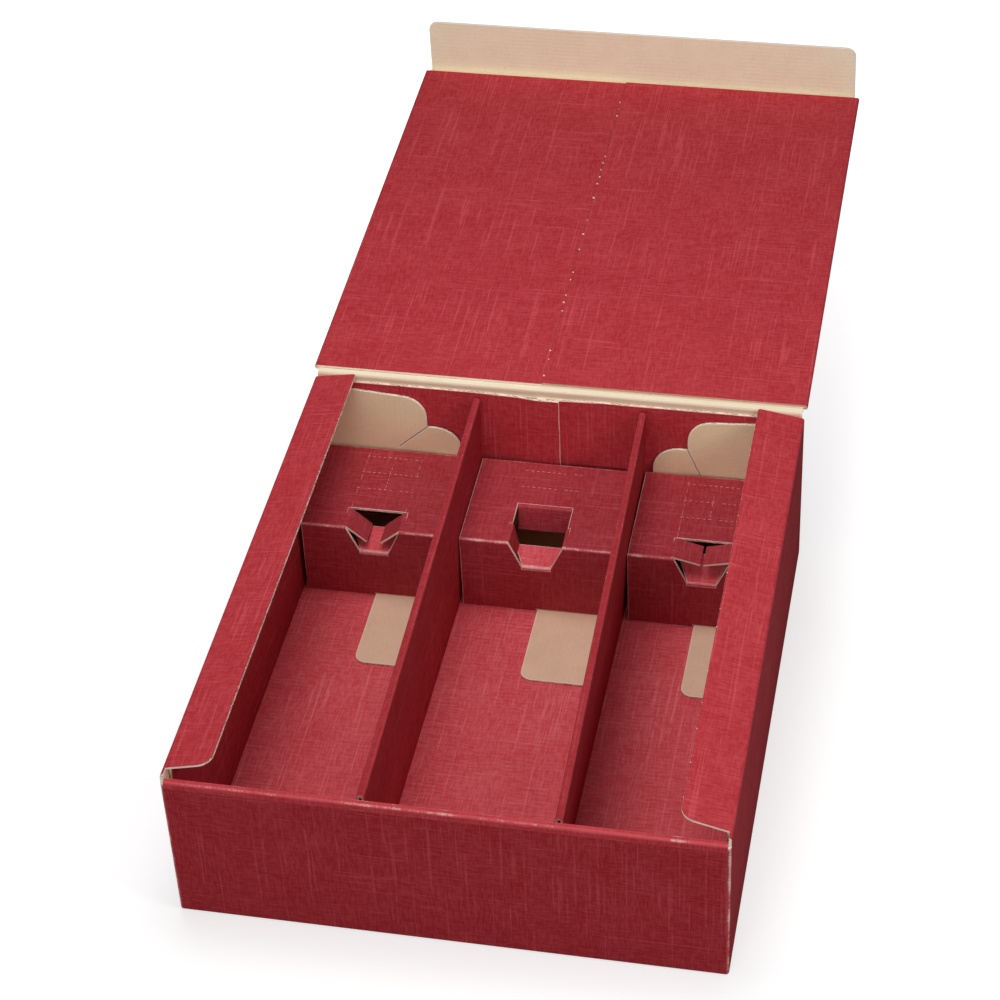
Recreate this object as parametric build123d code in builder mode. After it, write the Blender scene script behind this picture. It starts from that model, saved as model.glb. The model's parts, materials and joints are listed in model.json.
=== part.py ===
from build123d import *
import os
from math import cos, radians, sin, tan

# Hinged-lid carton for three bottles, folded from linen-printed E-flute board.
# Millimetres. The origin is the middle of the underside, +X runs to the right,
# +Y to the back and +Z up. The lid is modelled folded right back, as it stands open.

os.makedirs("parts", exist_ok=True)

# Board and fits
board = 1.6  # thickness of the corrugated board
fold_radius = 1.3  # outside radius of a folded edge
layer_slit = 0.2  # air between two layers folded flat on each other
clearance = 0.3  # between pieces that slide or swing past each other
hinge_slack = 0.15  # each board stops this far short of its crease line
mitre = radians(49)  # slope of a board's end beside a crease that folds shut

# Tray: bottom, four walls and the two shoulder flaps
width = 305.0
depth = 350.0
shoulder_height = 106.0  # top face of the shoulder flaps
front_height = 100.5  # top of the rolled-over front wall
rim_width = 4.2  # flat top of the front wall, crease to crease
rim_radius = 0.9  # centre line of the rim's inner fold
side_end_slope = 0.8  # how far a side wall's front end leans back above the rim
shoulder_width = 26.0
shoulder_corner = 8.0  # radius at a shoulder flap's inner front corner
shoulder_bevel = 2.2  # how far its front edge slopes back towards the inner corner

# Back lining: two folded-in halves that overlap in the middle
lining_drop = 1.9  # lining top below the shoulder flaps' top face
seam_x = 2.0  # free edge of the left half
lining_overlap = 14.0
lining_ramp = 12.0  # length over which the left half steps forward

# Corner ears: dust flaps from the side walls, in front of the lining
ear_drop = 2.2  # ear top below the shoulder flaps' top face, at the wall
ear_slope = 4.6  # its top edge falls this much towards the round corner
ear_reach = 70.5  # side wall's outer face to the big lobe's end
ear_corner = 15.0
lobe_reach = 92.0  # side wall's outer face to the small lobe's end
lobe_drop = 28.0  # small lobe's top below the shoulder flaps' top face
lobe_corner = 16.0
ear_foot = 8.0
ear_slit = 0.6
ear_slit_angles = (43.0, 68.0)  # left and right, degrees below level towards the wall
ear_slit_length = 26.0

# Lid
lid_angle = 178.0  # from shut to the open position that is modelled
lid_length = 345.0  # back crease to front crease
lid_overhang = 1.3  # the lid is this much wider than the tray on each side
lid_seam_x = -9.8
lid_seam_gap = 0.5
lid_lining_start = 4.4  # back crease to the right lining half
lid_lining_stop = 5.4  # right lining half to the front crease
lid_lining_step = 1.2  # the left half lies this much nearer the back crease

# Tuck flap along the lid's front crease
tuck_angle = 93.5  # from flat with the lid to the folded position modelled
tuck_length = 42.0
tuck_taper = 0.5
tuck_corner = 7.0

# Insert: floor, two pleated dividers and the inner side walls
side_gap = 0.4  # between the tray's side wall and the insert's
insert_drop = 4.0  # insert's side walls below the shoulder flaps' top face
front_gap = 6.6  # the front wall's inner face to the insert's wall ends
back_gap = 5.4  # tray's back wall, inner face, to the insert's back edge
divider_foot = 51.0
divider_thickness = 3.6
divider_bulb = 4.6  # width over the soft top fold
divider_slit = 0.5
divider_back_height = 103.0
divider_front_height = 95.5
left_lean = (2.2, 5.0)  # sideways lean of the top fold, at the back and at the front
right_lean = (3.5, 10.0)

# Neck bridges: a folded sleeve across the back of each bay
bridge_height = 57.0
bridge_depth = 76.2
bridge_tab_length = 62.0
bridge_tab_width = 49.0
bridge_tab_corner = 7.0
bridge_gap = 3.0  # a bridge's end stops this far short of the insert's side wall

# Neck collar in each bridge
collar_x = 101.2  # outer collars, from the middle
collar_width = 34.0
collar_length = 18.5  # along the top
collar_step = 16.5  # length of the next panel behind it, pushed in at the middle collar
collar_step_fold = 80.0
collar_drop = 18.5  # down the front face
collar_foot = 17.6  # width at the bottom of the front notch
# Each collar's side flaps folded down, and its front panel folded back, in degrees
left_collar = (41.0, 72.0)
centre_collar = (80.0, 86.0)
right_collar = (14.0, 50.0)
collar_cut = 0.4  # width of the knife cuts round its flaps

# Worked out once from the sizes above
half_width = width / 2
half_depth = depth / 2
wall_x = half_width - board  # side wall's inner face
wall_y = half_depth - board  # back wall's inner face
front_wall_y = -half_depth + board  # inner face of the front wall's outer layer
lid_stack = 2 * board + layer_slit
hinge_height = shoulder_height + lid_stack + clearance
floor_top = 2 * board
rim_y = -half_depth + rim_width  # front wall's inner face
insert_x = wall_x - side_gap  # insert side wall's outer face
insert_front = rim_y + front_gap
insert_back = wall_y - back_gap
bay_edge = insert_x - board
lobe_height = shoulder_height - lobe_drop
bridge_back = insert_back
bridge_front = bridge_back - bridge_depth
shoulder_inner = half_width - shoulder_width
# The tuck flap comes down between the front wall and the shoulder flaps
shoulder_front = half_depth - lid_length + board + 2 * clearance


def upright(x):
    """Plane across the box at x, seen from the right: local x is Y, local y is Z."""
    return Plane(origin=(x, 0, 0), x_dir=(0, 1, 0), z_dir=(1, 0, 0))


def facing(y):
    """Upright plane at depth y, seen from the front: local x is X, local y is Z."""
    return Plane(origin=(0, y, 0), x_dir=(1, 0, 0), z_dir=(0, -1, 0))


def divider_top(lean, y):
    """Sideways lean and height of a divider's top fold at depth y."""
    share = (insert_back - y) / (insert_back - insert_front)
    return (
        lean[0] + (lean[1] - lean[0]) * share,
        divider_back_height + (divider_front_height - divider_back_height) * share,
    )


def divider_section(foot_x, lean, y, half_foot, half_top, drop, foot_z):
    """Outline of a leaning pleat at depth y, round at its top."""
    shift, height = divider_top(lean, y)
    top = height - drop
    with BuildSketch(facing(y)) as section:
        with BuildLine():
            left_foot = (foot_x - half_foot, foot_z)
            right_foot = (foot_x + half_foot, foot_z)
            left_top = (foot_x + shift - half_top, top - half_top)
            right_top = (foot_x + shift + half_top, top - half_top)
            Line(left_foot, left_top)
            ThreePointArc(left_top, (foot_x + shift, top), right_top)
            Polyline(right_top, right_foot, left_foot)
        make_face()
    return section.sketch


def divider_face(foot_x, lean, side, y, z):
    """Where a divider's left (-1) or right (1) face stands at depth y and height z."""
    shift, height = divider_top(lean, y)
    return foot_x + shift * (z - board) / height + side * divider_bulb / 2


# Outer tray
with BuildPart() as outer_tray:
    with BuildSketch():
        Rectangle(width, depth)
    extrude(amount=shoulder_height)
    fillet(outer_tray.edges().filter_by(Axis.Z), fold_radius)
    fillet(outer_tray.edges().group_by(Axis.Z)[0], fold_radius)
    offset(amount=-board, openings=outer_tray.faces().sort_by(Axis.Z)[-1])

    # The back wall runs up to the lid's crease
    with BuildSketch(upright(0)):
        Polygon(
            (wall_y, board),
            (half_depth, shoulder_height / 2),
            (half_depth, hinge_height - hinge_slack),
            (wall_y, hinge_height - hinge_slack - board * tan(mitre)),
            align=None,
        )
    extrude(amount=half_width - fold_radius, both=True)

    # The front wall is lower, with a soft fold, and the side walls slope down to it
    with BuildSketch(upright(0)):
        with BuildLine():
            Polyline(
                (fold_radius - half_depth, front_height),
                (front_wall_y, front_height),
                (front_wall_y + side_end_slope, shoulder_height + board),
                (-half_depth - board, shoulder_height + board),
                (-half_depth - board, front_height - fold_radius),
                (-half_depth, front_height - fold_radius),
            )
            RadiusArc(
                (-half_depth, front_height - fold_radius),
                (fold_radius - half_depth, front_height),
                fold_radius,
            )
        make_face()
    extrude(amount=width, both=True, mode=Mode.SUBTRACT)

    # Rolled-over rim and the front wall's inner layer
    with BuildSketch(upright(0)):
        with BuildLine():
            FilletPolyline(
                (front_wall_y - board / 2, front_height - board / 2),
                (rim_y - board / 2, front_height - board / 2),
                (rim_y - board / 2, board),
                radius=rim_radius,
            )
        trace(line_width=board)
    extrude(amount=wall_x - clearance, both=True)

    # Shoulder flaps, folded in from the side walls
    with BuildSketch(Plane.XY.offset(shoulder_height - board)) as shoulder:
        with BuildLine():
            Polyline(
                (wall_x, wall_y - clearance),
                (shoulder_inner, wall_y - clearance),
                (shoulder_inner, shoulder_front + shoulder_bevel),
                (wall_x - clearance, shoulder_front),
                (wall_x, shoulder_front),
                close=True,
            )
        make_face()
        fillet(
            shoulder.vertices().group_by(Axis.X)[0].sort_by(Axis.Y)[0], shoulder_corner
        )
        fillet(shoulder.vertices().group_by(Axis.X)[0].sort_by(Axis.Y)[-1], board)
        mirror(about=Plane.YZ)
    extrude(amount=board)
    with BuildSketch(facing(0)):
        with BuildLine():
            RadiusArc(
                (half_width - fold_radius, shoulder_height),
                (half_width, shoulder_height - fold_radius),
                fold_radius,
            )
            Polyline(
                (half_width, shoulder_height - fold_radius),
                (half_width + board, shoulder_height - fold_radius),
                (half_width + board, shoulder_height + board),
                (half_width - fold_radius, shoulder_height + board),
                (half_width - fold_radius, shoulder_height),
            )
        make_face()
        mirror(about=Plane.YZ)
    extrude(amount=depth, both=True, mode=Mode.SUBTRACT)

    # Back lining, its left half stepping over the right one
    lining_front = wall_y - board
    with BuildSketch(Plane.XY.offset(board)):
        Polygon(
            (seam_x - lining_overlap, wall_y),
            (seam_x - lining_overlap, lining_front),
            (wall_x, lining_front),
            (wall_x, wall_y),
            align=None,
        )
        Polygon(
            (-wall_x, wall_y),
            (-wall_x, lining_front),
            (seam_x - lining_overlap - lining_ramp, lining_front),
            (seam_x - lining_overlap - clearance, lining_front - board),
            (seam_x, lining_front - board),
            (seam_x, lining_front),
            (seam_x - lining_overlap, lining_front),
            (seam_x - lining_overlap, wall_y),
            align=None,
        )
    extrude(amount=shoulder_height - lining_drop - board)

    # Corner ears, two round lobes with a slanting slit between them
    for side, slit_angle in zip((-1, 1), ear_slit_angles):
        with BuildSketch(facing(lining_front)) as ear:
            ear_top = shoulder_height - ear_drop
            with BuildLine():
                Polyline(
                    (wall_x, ear_foot),
                    (wall_x, ear_top),
                    (half_width - ear_reach, ear_top - ear_slope),
                    (half_width - ear_reach, lobe_height),
                    (half_width - lobe_reach, lobe_height),
                    (half_width - lobe_reach, ear_foot),
                    close=True,
                )
            make_face()
            big_corner = (half_width - ear_reach, ear_top - ear_slope)
            small_corner = (half_width - lobe_reach, lobe_height)
            fillet(ear.vertices().sort_by_distance(big_corner)[0], ear_corner)
            fillet(ear.vertices().sort_by_distance(small_corner)[0], lobe_corner)
            with Locations((half_width - ear_reach, lobe_height)):
                Rectangle(
                    2 * ear_slit_length,
                    ear_slit,
                    rotation=-slit_angle,
                    mode=Mode.SUBTRACT,
                )
            if side < 0:
                mirror(about=Plane.YZ, mode=Mode.REPLACE)
        extrude(amount=board)
outer_tray.part.label = "outer_tray"
export_step(outer_tray.part, "parts/outer_tray.step")


def board_between(start, stop):
    """Cross-section of a board between two creases, its outer skin on local y = 0."""
    lead = board * tan(mitre)
    Polygon(
        (start + hinge_slack, 0),
        (stop - hinge_slack, 0),
        (stop - hinge_slack - lead, board),
        (start + hinge_slack + lead, board),
        align=None,
    )


# Lid: a board with its two sides folded over as the lining, meeting near the middle
swing = radians(lid_angle)
lid_out = (0, -cos(swing), sin(swing))  # from the back crease to the front crease
lid_in = (0, -sin(swing), -cos(swing))  # normal of the lid's inner face
hinge_point = Vector(0, half_depth, hinge_height)
lid_side = Plane(origin=hinge_point, x_dir=lid_out, z_dir=(1, 0, 0))
lid_half = half_width + lid_overhang
fold_x = lid_half - lid_stack / 2  # centre of the side folds
with BuildPart() as lid:
    with BuildSketch(lid_side):
        board_between(0, lid_length)
    extrude(amount=wall_x, both=True)
    for side, nearer in ((-1, lid_lining_step), (1, 0)):
        start = lid_lining_start - nearer
        stop = lid_length - lid_lining_stop - nearer
        seam = side * lid_seam_x + lid_seam_gap / 2
        layers = Plane(
            origin=hinge_point + Vector(*lid_out) * start,
            x_dir=(side, 0, 0),
            z_dir=Vector(*lid_out) * -side,
        )
        with BuildSketch(layers):
            with BuildLine():
                Polyline((seam, lid_stack), (seam, 0), (fold_x, 0))
                ThreePointArc((fold_x, 0), (lid_half, lid_stack / 2), (fold_x, lid_stack))
                Line((fold_x, lid_stack), (seam, lid_stack))
            make_face()
            with Locations(((seam + fold_x) / 2, lid_stack / 2)):
                Rectangle(fold_x - seam, layer_slit, mode=Mode.SUBTRACT)
        extrude(amount=-side * (stop - start))
lid.part.label = "lid"
export_step(lid.part, "parts/lid.step")


# Tuck flap, standing up from the lid's front crease
turn = radians(tuck_angle)
tuck_out = Vector(*lid_out) * cos(turn) + Vector(*lid_in) * sin(turn)
tuck_in = Vector(*lid_in) * cos(turn) - Vector(*lid_out) * sin(turn)
tuck_point = hinge_point + Vector(*lid_out) * lid_length
tuck_half = wall_x - 2 * clearance
with BuildPart() as tuck_flap:
    with BuildSketch(Plane(origin=tuck_point, x_dir=(1, 0, 0), z_dir=tuck_in)) as outline:
        with BuildLine():
            Polyline(
                (-tuck_half, 0),
                (tuck_half, 0),
                (tuck_half - tuck_taper, tuck_length),
                (tuck_taper - tuck_half, tuck_length),
                close=True,
            )
        make_face()
        fillet(outline.vertices().group_by(Axis.Y)[0], tuck_corner)
    extrude(amount=board)
    with BuildSketch(Plane(origin=tuck_point, x_dir=tuck_out, z_dir=(1, 0, 0))):
        board_between(0, 2 * tuck_length)
    extrude(amount=half_width, both=True, mode=Mode.INTERSECT)
tuck_flap.part.label = "tuck_flap"
export_step(tuck_flap.part, "parts/tuck_flap.step")


# Insert: floor, two standing pleats and two inner side walls, one folded sheet
with BuildPart() as insert:
    with BuildSketch(facing(insert_back)):
        insert_top = shoulder_height - insert_drop
        with BuildLine():
            FilletPolyline(
                (-insert_x + board / 2, insert_top),
                (-insert_x + board / 2, floor_top - board / 2),
                (insert_x - board / 2, floor_top - board / 2),
                (insert_x - board / 2, insert_top),
                radius=rim_radius,
            )
        trace(line_width=board)
    extrude(amount=insert_back - insert_front)
    with BuildSketch(Plane.XY.offset(board)):
        Polygon(
            (-bay_edge, insert_front),
            (-bay_edge, rim_y + clearance),
            (bay_edge, rim_y + clearance),
            (bay_edge, insert_front),
            align=None,
        )
    extrude(amount=board)
    for foot, lean in ((-divider_foot, left_lean), (divider_foot, right_lean)):
        half_foot = divider_thickness / 2
        half_bulb = divider_bulb / 2
        loft(
            [
                divider_section(foot, lean, y, half_foot, half_bulb, 0, board)
                for y in (insert_back, insert_front)
            ],
            ruled=True,
        )
        loft(
            [
                divider_section(
                    foot, lean, y, divider_slit / 2, half_bulb - board, board, board / 2
                )
                for y in (insert_back + board, insert_front - board)
            ],
            ruled=True,
            mode=Mode.SUBTRACT,
        )
insert.part.label = "insert"
export_step(insert.part, "parts/insert.step")


# Neck bridges, one folded sleeve across the back of each bay
bridge_end = bay_edge - bridge_gap
foot_room = divider_thickness / 2 + clearance
centre_start = divider_face(-divider_foot, left_lean, 1, bridge_front, bridge_height)
right_start = divider_face(divider_foot, right_lean, 1, bridge_front, bridge_height)
bays = {
    "left": (-bridge_end, -divider_foot - foot_room, -collar_x, left_collar, 0),
    "centre": (centre_start + clearance, divider_foot - foot_room, 0, centre_collar, collar_step),
    "right": (right_start + clearance, bridge_end, collar_x, right_collar, 0),
}
for name, (start, stop, middle, (side_fold, front_fold), step) in bays.items():
    with BuildPart() as bridge:
        with BuildSketch(upright(start)):
            with BuildLine():
                FilletPolyline(
                    (bridge_front + board / 2, floor_top + board + clearance),
                    (bridge_front + board / 2, bridge_height - board / 2),
                    (bridge_back - board / 2, bridge_height - board / 2),
                    (bridge_back - board / 2, floor_top + board / 2),
                    (bridge_front - clearance, floor_top + board / 2),
                    radius=rim_radius,
                )
            trace(line_width=board)
        extrude(amount=stop - start)

        # Kraft tab running forward on the bay's floor
        with BuildSketch(Plane.XY.offset(floor_top)) as tab:
            with Locations((stop, bridge_front + board)):
                Rectangle(
                    bridge_tab_width, bridge_tab_length + board, align=(Align.MAX, Align.MAX)
                )
            fillet(
                tab.vertices().group_by(Axis.Y)[0].sort_by(Axis.X)[0], bridge_tab_corner
            )
        extrude(amount=board)

        # Collar opening across the front edge
        opening = collar_length + step
        with BuildSketch(Plane.XY.offset(bridge_height - 2 * board)):
            with Locations((middle, bridge_front + opening / 2)):
                Rectangle(collar_width, opening)
        extrude(amount=3 * board, mode=Mode.SUBTRACT)
        notch_foot = bridge_height - collar_drop
        with BuildSketch(facing(bridge_front + board)):
            Polygon(
                (middle - collar_width / 2, bridge_height + board),
                (middle - collar_width / 2, bridge_height),
                (middle - collar_foot / 2, notch_foot),
                (middle + collar_foot / 2, notch_foot),
                (middle + collar_width / 2, bridge_height),
                (middle + collar_width / 2, bridge_height + board),
                align=None,
            )
        extrude(amount=2 * board, mode=Mode.SUBTRACT)

        # Two flaps folded down from the opening's sides
        fall = radians(side_fold)
        for side in (-1, 1):
            flap = Plane(
                origin=(middle + side * collar_width / 2, bridge_front + board, bridge_height),
                x_dir=(-side * cos(fall), 0, -sin(fall)),
                z_dir=(-side * sin(fall), 0, cos(fall)),
            )
            flap_length = collar_width / 2 - collar_cut
            flap_depth = collar_length - board - collar_cut
            with BuildSketch(flap):
                with Locations((flap_length / 2, -side * flap_depth / 2)):
                    Rectangle(flap_length, flap_depth)
            extrude(amount=-board)

        # The pushed-in panel behind them hangs from its back edge
        if step:
            hang = radians(collar_step_fold)
            panel_back = Plane(
                origin=(middle, bridge_front + opening, bridge_height),
                x_dir=(1, 0, 0),
                z_dir=(0, -sin(hang), cos(hang)),
            )
            with BuildSketch(panel_back):
                with Locations((0, (collar_cut - step) / 2)):
                    Rectangle(collar_width - 2 * collar_cut, step - collar_cut)
            extrude(amount=-board)

        # Front panel folded back from the bottom of the notch
        lean_back = radians(front_fold)
        panel = Plane(
            origin=(middle, bridge_front, notch_foot),
            x_dir=(-1, 0, 0),
            z_dir=(0, cos(lean_back), -sin(lean_back)),
        )
        with BuildSketch(panel):
            Polygon(
                (-collar_foot / 2, 0),
                (collar_foot / 2, 0),
                (collar_width / 2 - collar_cut, collar_drop - collar_cut),
                (collar_cut - collar_width / 2, collar_drop - collar_cut),
                align=None,
            )
        extrude(amount=board)
    bridge.part.label = f"neck_bridge_{name}"
    export_step(bridge.part, f"parts/neck_bridge_{name}.step")
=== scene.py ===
import json
import math
from functools import partial

import bmesh
import bpy
from mathutils import Matrix, Vector, geometry


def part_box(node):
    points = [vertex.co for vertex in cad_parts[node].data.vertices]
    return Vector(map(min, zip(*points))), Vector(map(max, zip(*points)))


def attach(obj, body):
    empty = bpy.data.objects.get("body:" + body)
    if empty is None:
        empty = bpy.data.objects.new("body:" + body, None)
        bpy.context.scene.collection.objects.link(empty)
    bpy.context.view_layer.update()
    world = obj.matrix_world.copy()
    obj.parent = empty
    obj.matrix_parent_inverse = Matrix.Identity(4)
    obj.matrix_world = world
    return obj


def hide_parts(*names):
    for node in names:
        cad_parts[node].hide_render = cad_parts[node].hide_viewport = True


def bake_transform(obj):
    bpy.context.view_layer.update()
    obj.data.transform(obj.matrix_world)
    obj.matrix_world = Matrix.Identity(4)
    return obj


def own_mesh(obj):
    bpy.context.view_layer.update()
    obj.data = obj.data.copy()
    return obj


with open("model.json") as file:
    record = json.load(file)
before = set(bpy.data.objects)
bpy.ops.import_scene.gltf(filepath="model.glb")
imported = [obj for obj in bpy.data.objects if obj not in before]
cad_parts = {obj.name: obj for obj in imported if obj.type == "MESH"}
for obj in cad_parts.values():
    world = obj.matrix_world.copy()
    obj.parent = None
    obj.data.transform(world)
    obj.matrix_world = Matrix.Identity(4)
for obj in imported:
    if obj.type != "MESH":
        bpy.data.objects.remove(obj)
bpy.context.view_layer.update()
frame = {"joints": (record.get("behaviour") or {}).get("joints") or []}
mm = 0.001

# Everything is metres. The box is folded from flat sheets: s runs along the folding
# direction of a sheet, t across it, and the printed face is on the +depth side.

print("stage: sizes from the frame")
trayLow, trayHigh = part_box("outer_tray")
insertLow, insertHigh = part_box("insert")
hinges = {joint["name"]: joint for joint in frame["joints"]}
hingeAt = Vector(hinges["lid_hinge"]["pos_m"])
tuckAt = Vector(hinges["tuck_flap_hinge"]["pos_m"])
tuckTurn = math.radians(-hinges["tuck_flap_hinge"]["range_deg"][0])
axisX, axisY, axisZ = Vector((1, 0, 0)), Vector((0, 1, 0)), Vector((0, 0, 1))
lidOut = (tuckAt - hingeAt).normalized()
lidIn = axisX.cross(lidOut)
tuckOut = lidOut * math.cos(tuckTurn) + lidIn * math.sin(tuckTurn)
tuckIn = lidIn * math.cos(tuckTurn) - lidOut * math.sin(tuckTurn)
lidLength = (tuckAt - hingeAt).length

board = {
    "thick": 1.6 * mm,
    "slit": 0.2 * mm,  # air between layers folded flat on each other
    "bend": 0.9 * mm,  # centre line radius of a crease
    "crush": 0.18 * mm,  # rounded rim of a cut edge
    "rub": 0.9 * mm,  # how far scuffing reaches in from a cut edge
    "flute": 3.2 * mm,  # pitch of the corrugation
}
thick = board["thick"]
half = thick / 2


# Camera and light

camera = {
    "sensor": 36,
    "clip": (0.05, 20),
    "lens": 99.06,
    "azimuth": 12.81,
    "elevation": 39.83,
    "roll": -2.941,
    "distance": 1.7844,
    "target": (-0.04414, 0.19753, 0.0),
}
studio = {
    "ambient": 0.22,
    "lamps": (  # place, aim, edge length and power of each softbox
        ((-0.06, 0.06, 0.92), (0.0, 0.1, 0.0), 0.45, 3.9),
        ((0.62, -0.32, 0.62), (0.1, 0.0, 0.08), 0.28, 1.5),
        ((-0.2, -2.1, 0.8), (0.0, 0.2, 0.1), 1.2, 11.6),
    ),
    "floorSeen": 0.62,  # what the camera sees: shaded paper
    "floorGlow": (0.6, 1.0),  # and its own light near the box and far off, so that it is white
    "glowReach": (0.25, 0.75),
    "glowAt": (0.03, -0.1, 0.0),
    "floorBounce": 0.45,
    "floorSize": 8.0,
}


def addObject(name, data):
    added = bpy.data.objects.new(name, data)
    bpy.context.scene.collection.objects.link(added)
    return added


def makeCamera():
    a, e = math.radians(camera["azimuth"]), math.radians(camera["elevation"])
    roll = math.radians(camera["roll"])
    back = Vector((math.sin(a) * math.cos(e), -math.cos(a) * math.cos(e), math.sin(e)))
    right = Vector((math.cos(a), math.sin(a), 0))
    up = back.cross(right)
    turnedRight = right * math.cos(roll) + up * math.sin(roll)
    turnedUp = up * math.cos(roll) - right * math.sin(roll)
    place = Matrix((turnedRight, turnedUp, back)).transposed().to_4x4()
    place.translation = Vector(camera["target"]) + back * camera["distance"]
    data = bpy.data.cameras.new("photoCamera")
    data.lens, data.sensor_width = camera["lens"], camera["sensor"]
    data.clip_start, data.clip_end = camera["clip"]
    seen = addObject("photoCamera", data)
    seen.matrix_world = place
    bpy.context.scene.camera = seen


def addNode(tree, kind, inputs=None, **settings):
    # A new node; each input is either linked to a socket or set to a value
    node = tree.nodes.new(kind)
    for name, value in settings.items():
        setattr(node, name, value)
    for key, value in (inputs or {}).items():
        if isinstance(value, bpy.types.NodeSocket):
            tree.links.new(value, node.inputs[key])
        else:
            node.inputs[key].default_value = value
    return node


def makeStudio():
    world = bpy.data.worlds.new("studioWorld")
    bpy.context.scene.world = world
    world.use_nodes = True
    tree = world.node_tree
    tree.nodes.clear()
    seen = addNode(tree, "ShaderNodeLightPath").outputs["Is Camera Ray"]
    soft, white = (addNode(tree, "ShaderNodeBackground", {"Color": (1, 1, 1, 1), "Strength": level})
                   for level in (studio["ambient"], 1.0))
    sky = addNode(tree, "ShaderNodeMixShader", {0: seen, 1: soft.outputs[0], 2: white.outputs[0]})
    addNode(tree, "ShaderNodeOutputWorld", {0: sky.outputs[0]})

    for at, aim, size, power in studio["lamps"]:
        lamp = bpy.data.lights.new("softbox", "AREA")
        lamp.energy, lamp.size = power, size
        holder = addObject("softbox", lamp)
        holder.location = at
        holder.rotation_euler = (Vector(aim) - Vector(at)).to_track_quat("-Z", "Y").to_euler()

    mesh = bpy.data.meshes.new("studioFloor")
    r = studio["floorSize"] / 2
    mesh.from_pydata([(-r, -r, 0), (r, -r, 0), (r, r, 0), (-r, r, 0)], [], [(0, 1, 2, 3)])
    floor = addObject("studioFloor", mesh)
    paper = bpy.data.materials.new("studioPaper")
    paper.use_nodes = True
    tree = paper.node_tree
    shader = tree.nodes["Principled BSDF"]
    shader.inputs["Roughness"].default_value = 1.0
    shader.inputs["Specular IOR Level"].default_value = 0.0
    shader.inputs["Emission Color"].default_value = (1, 1, 1, 1)
    seen = addNode(tree, "ShaderNodeLightPath").outputs["Is Camera Ray"]
    bounced, shown = ([studio[level]] * 3 + [1] for level in ("floorBounce", "floorSeen"))
    grey = addNode(tree, "ShaderNodeMix", {0: seen, 6: bounced, 7: shown}, data_type="RGBA")
    tree.links.new(grey.outputs[2], shader.inputs["Base Color"])
    place = addNode(tree, "ShaderNodeTexCoord").outputs["Object"]
    far = addNode(tree, "ShaderNodeVectorMath", {0: place, 1: studio["glowAt"]},
                  operation="DISTANCE").outputs["Value"]
    fade = dict(enumerate((far, *studio["glowReach"], *studio["floorGlow"])))
    level = addNode(tree, "ShaderNodeMapRange", fade)
    glow = addNode(tree, "ShaderNodeMath", {0: seen, 1: level.outputs[0]}, operation="MULTIPLY")
    tree.links.new(glow.outputs[0], shader.inputs["Emission Strength"])
    mesh.materials.append(paper)


print("stage: camera and studio")
bpy.context.scene.view_settings.view_transform = "Standard"
makeCamera()
makeStudio()


# Shader nodes

def addMath(tree, operation, *values, clamp=False):
    node = addNode(tree, "ShaderNodeMath", dict(enumerate(values)), operation=operation,
                   use_clamp=clamp)
    return node.outputs[0]


def addRamp(tree, value, low, high, toLow=0.0, toHigh=1.0):
    node = addNode(tree, "ShaderNodeMapRange", {0: value, 1: low, 2: high, 3: toLow, 4: toHigh},
                   interpolation_type="SMOOTHSTEP")
    return node.outputs[0]


def addNoise(tree, sheet, stretch, shift, detail=2.0, turn=0.0):
    # Noise over the flat sheet; stretch is how many features a metre holds along s and t
    if not isinstance(stretch, tuple):
        stretch = (stretch, stretch)
    place = addNode(tree, "ShaderNodeMapping", {"Vector": sheet})
    place.inputs["Scale"].default_value = (*stretch, 1.0)
    place.inputs["Location"].default_value = (shift, shift, shift)
    place.inputs["Rotation"].default_value = (0, 0, turn)
    node = addNode(tree, "ShaderNodeTexNoise", {"Vector": place.outputs[0], "Scale": 1.0})
    node.inputs["Detail"].default_value = detail
    return node.outputs[0]


def addTint(tree, share, first, second):
    node = addNode(tree, "ShaderNodeMix", {0: share, 6: first, 7: second}, data_type="RGBA")
    return node.outputs[2]


def toolsFor(tree):
    # The four functions above, bound to one tree
    return [partial(tool, tree) for tool in (addMath, addRamp, addNoise, addTint)]


def startGroup(name, inputs, outputs):
    tree = bpy.data.node_groups.new(name, "ShaderNodeTree")
    for sockets, way in ((inputs, "INPUT"), (outputs, "OUTPUT")):
        for label, kind in sockets.items():
            tree.interface.new_socket(label, in_out=way, socket_type="NodeSocket" + kind)
    entry, result = tree.nodes.new("NodeGroupInput"), tree.nodes.new("NodeGroupOutput")
    return tree, entry.outputs, result.inputs


def endGroup(tree, out, **values):
    for label, value in values.items():
        tree.links.new(value, out[label])
    return tree


def useGroup(tree, group, **inputs):
    return addNode(tree, "ShaderNodeGroup", inputs, node_tree=group).outputs


linen = {  # counts are per metre, across a thread and along it
    "thread": (1000, 170),
    "threadRange": (0.48, 0.88),
    "bar": (60, 480),  # thicker threads across the fine ones
    "barShare": 0.14,
    "patch": 30,  # where one direction shows more
    "patchRange": (0.38, 0.62),
    "patchShare": (0.35, 0.43),  # how much a thread follows its patch, and how much it always shows
    "slub": (720, 10),  # thick threads
    "longRange": (0.61, 0.69),  # the higher, the rarer
    "crossRange": (0.65, 0.74),
    "break": (190, 30),  # where a thick thread shows and where it sinks
    "longShows": (0.38, 0.58),
    "crossShows": (0.5, 0.62),
    "blotch": 40,
    "threadLight": 0.38,
    "slubLight": 0.33,
    "blotchLight": (0.34, -0.13),
    "slubHeight": 0.3,
}


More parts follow.
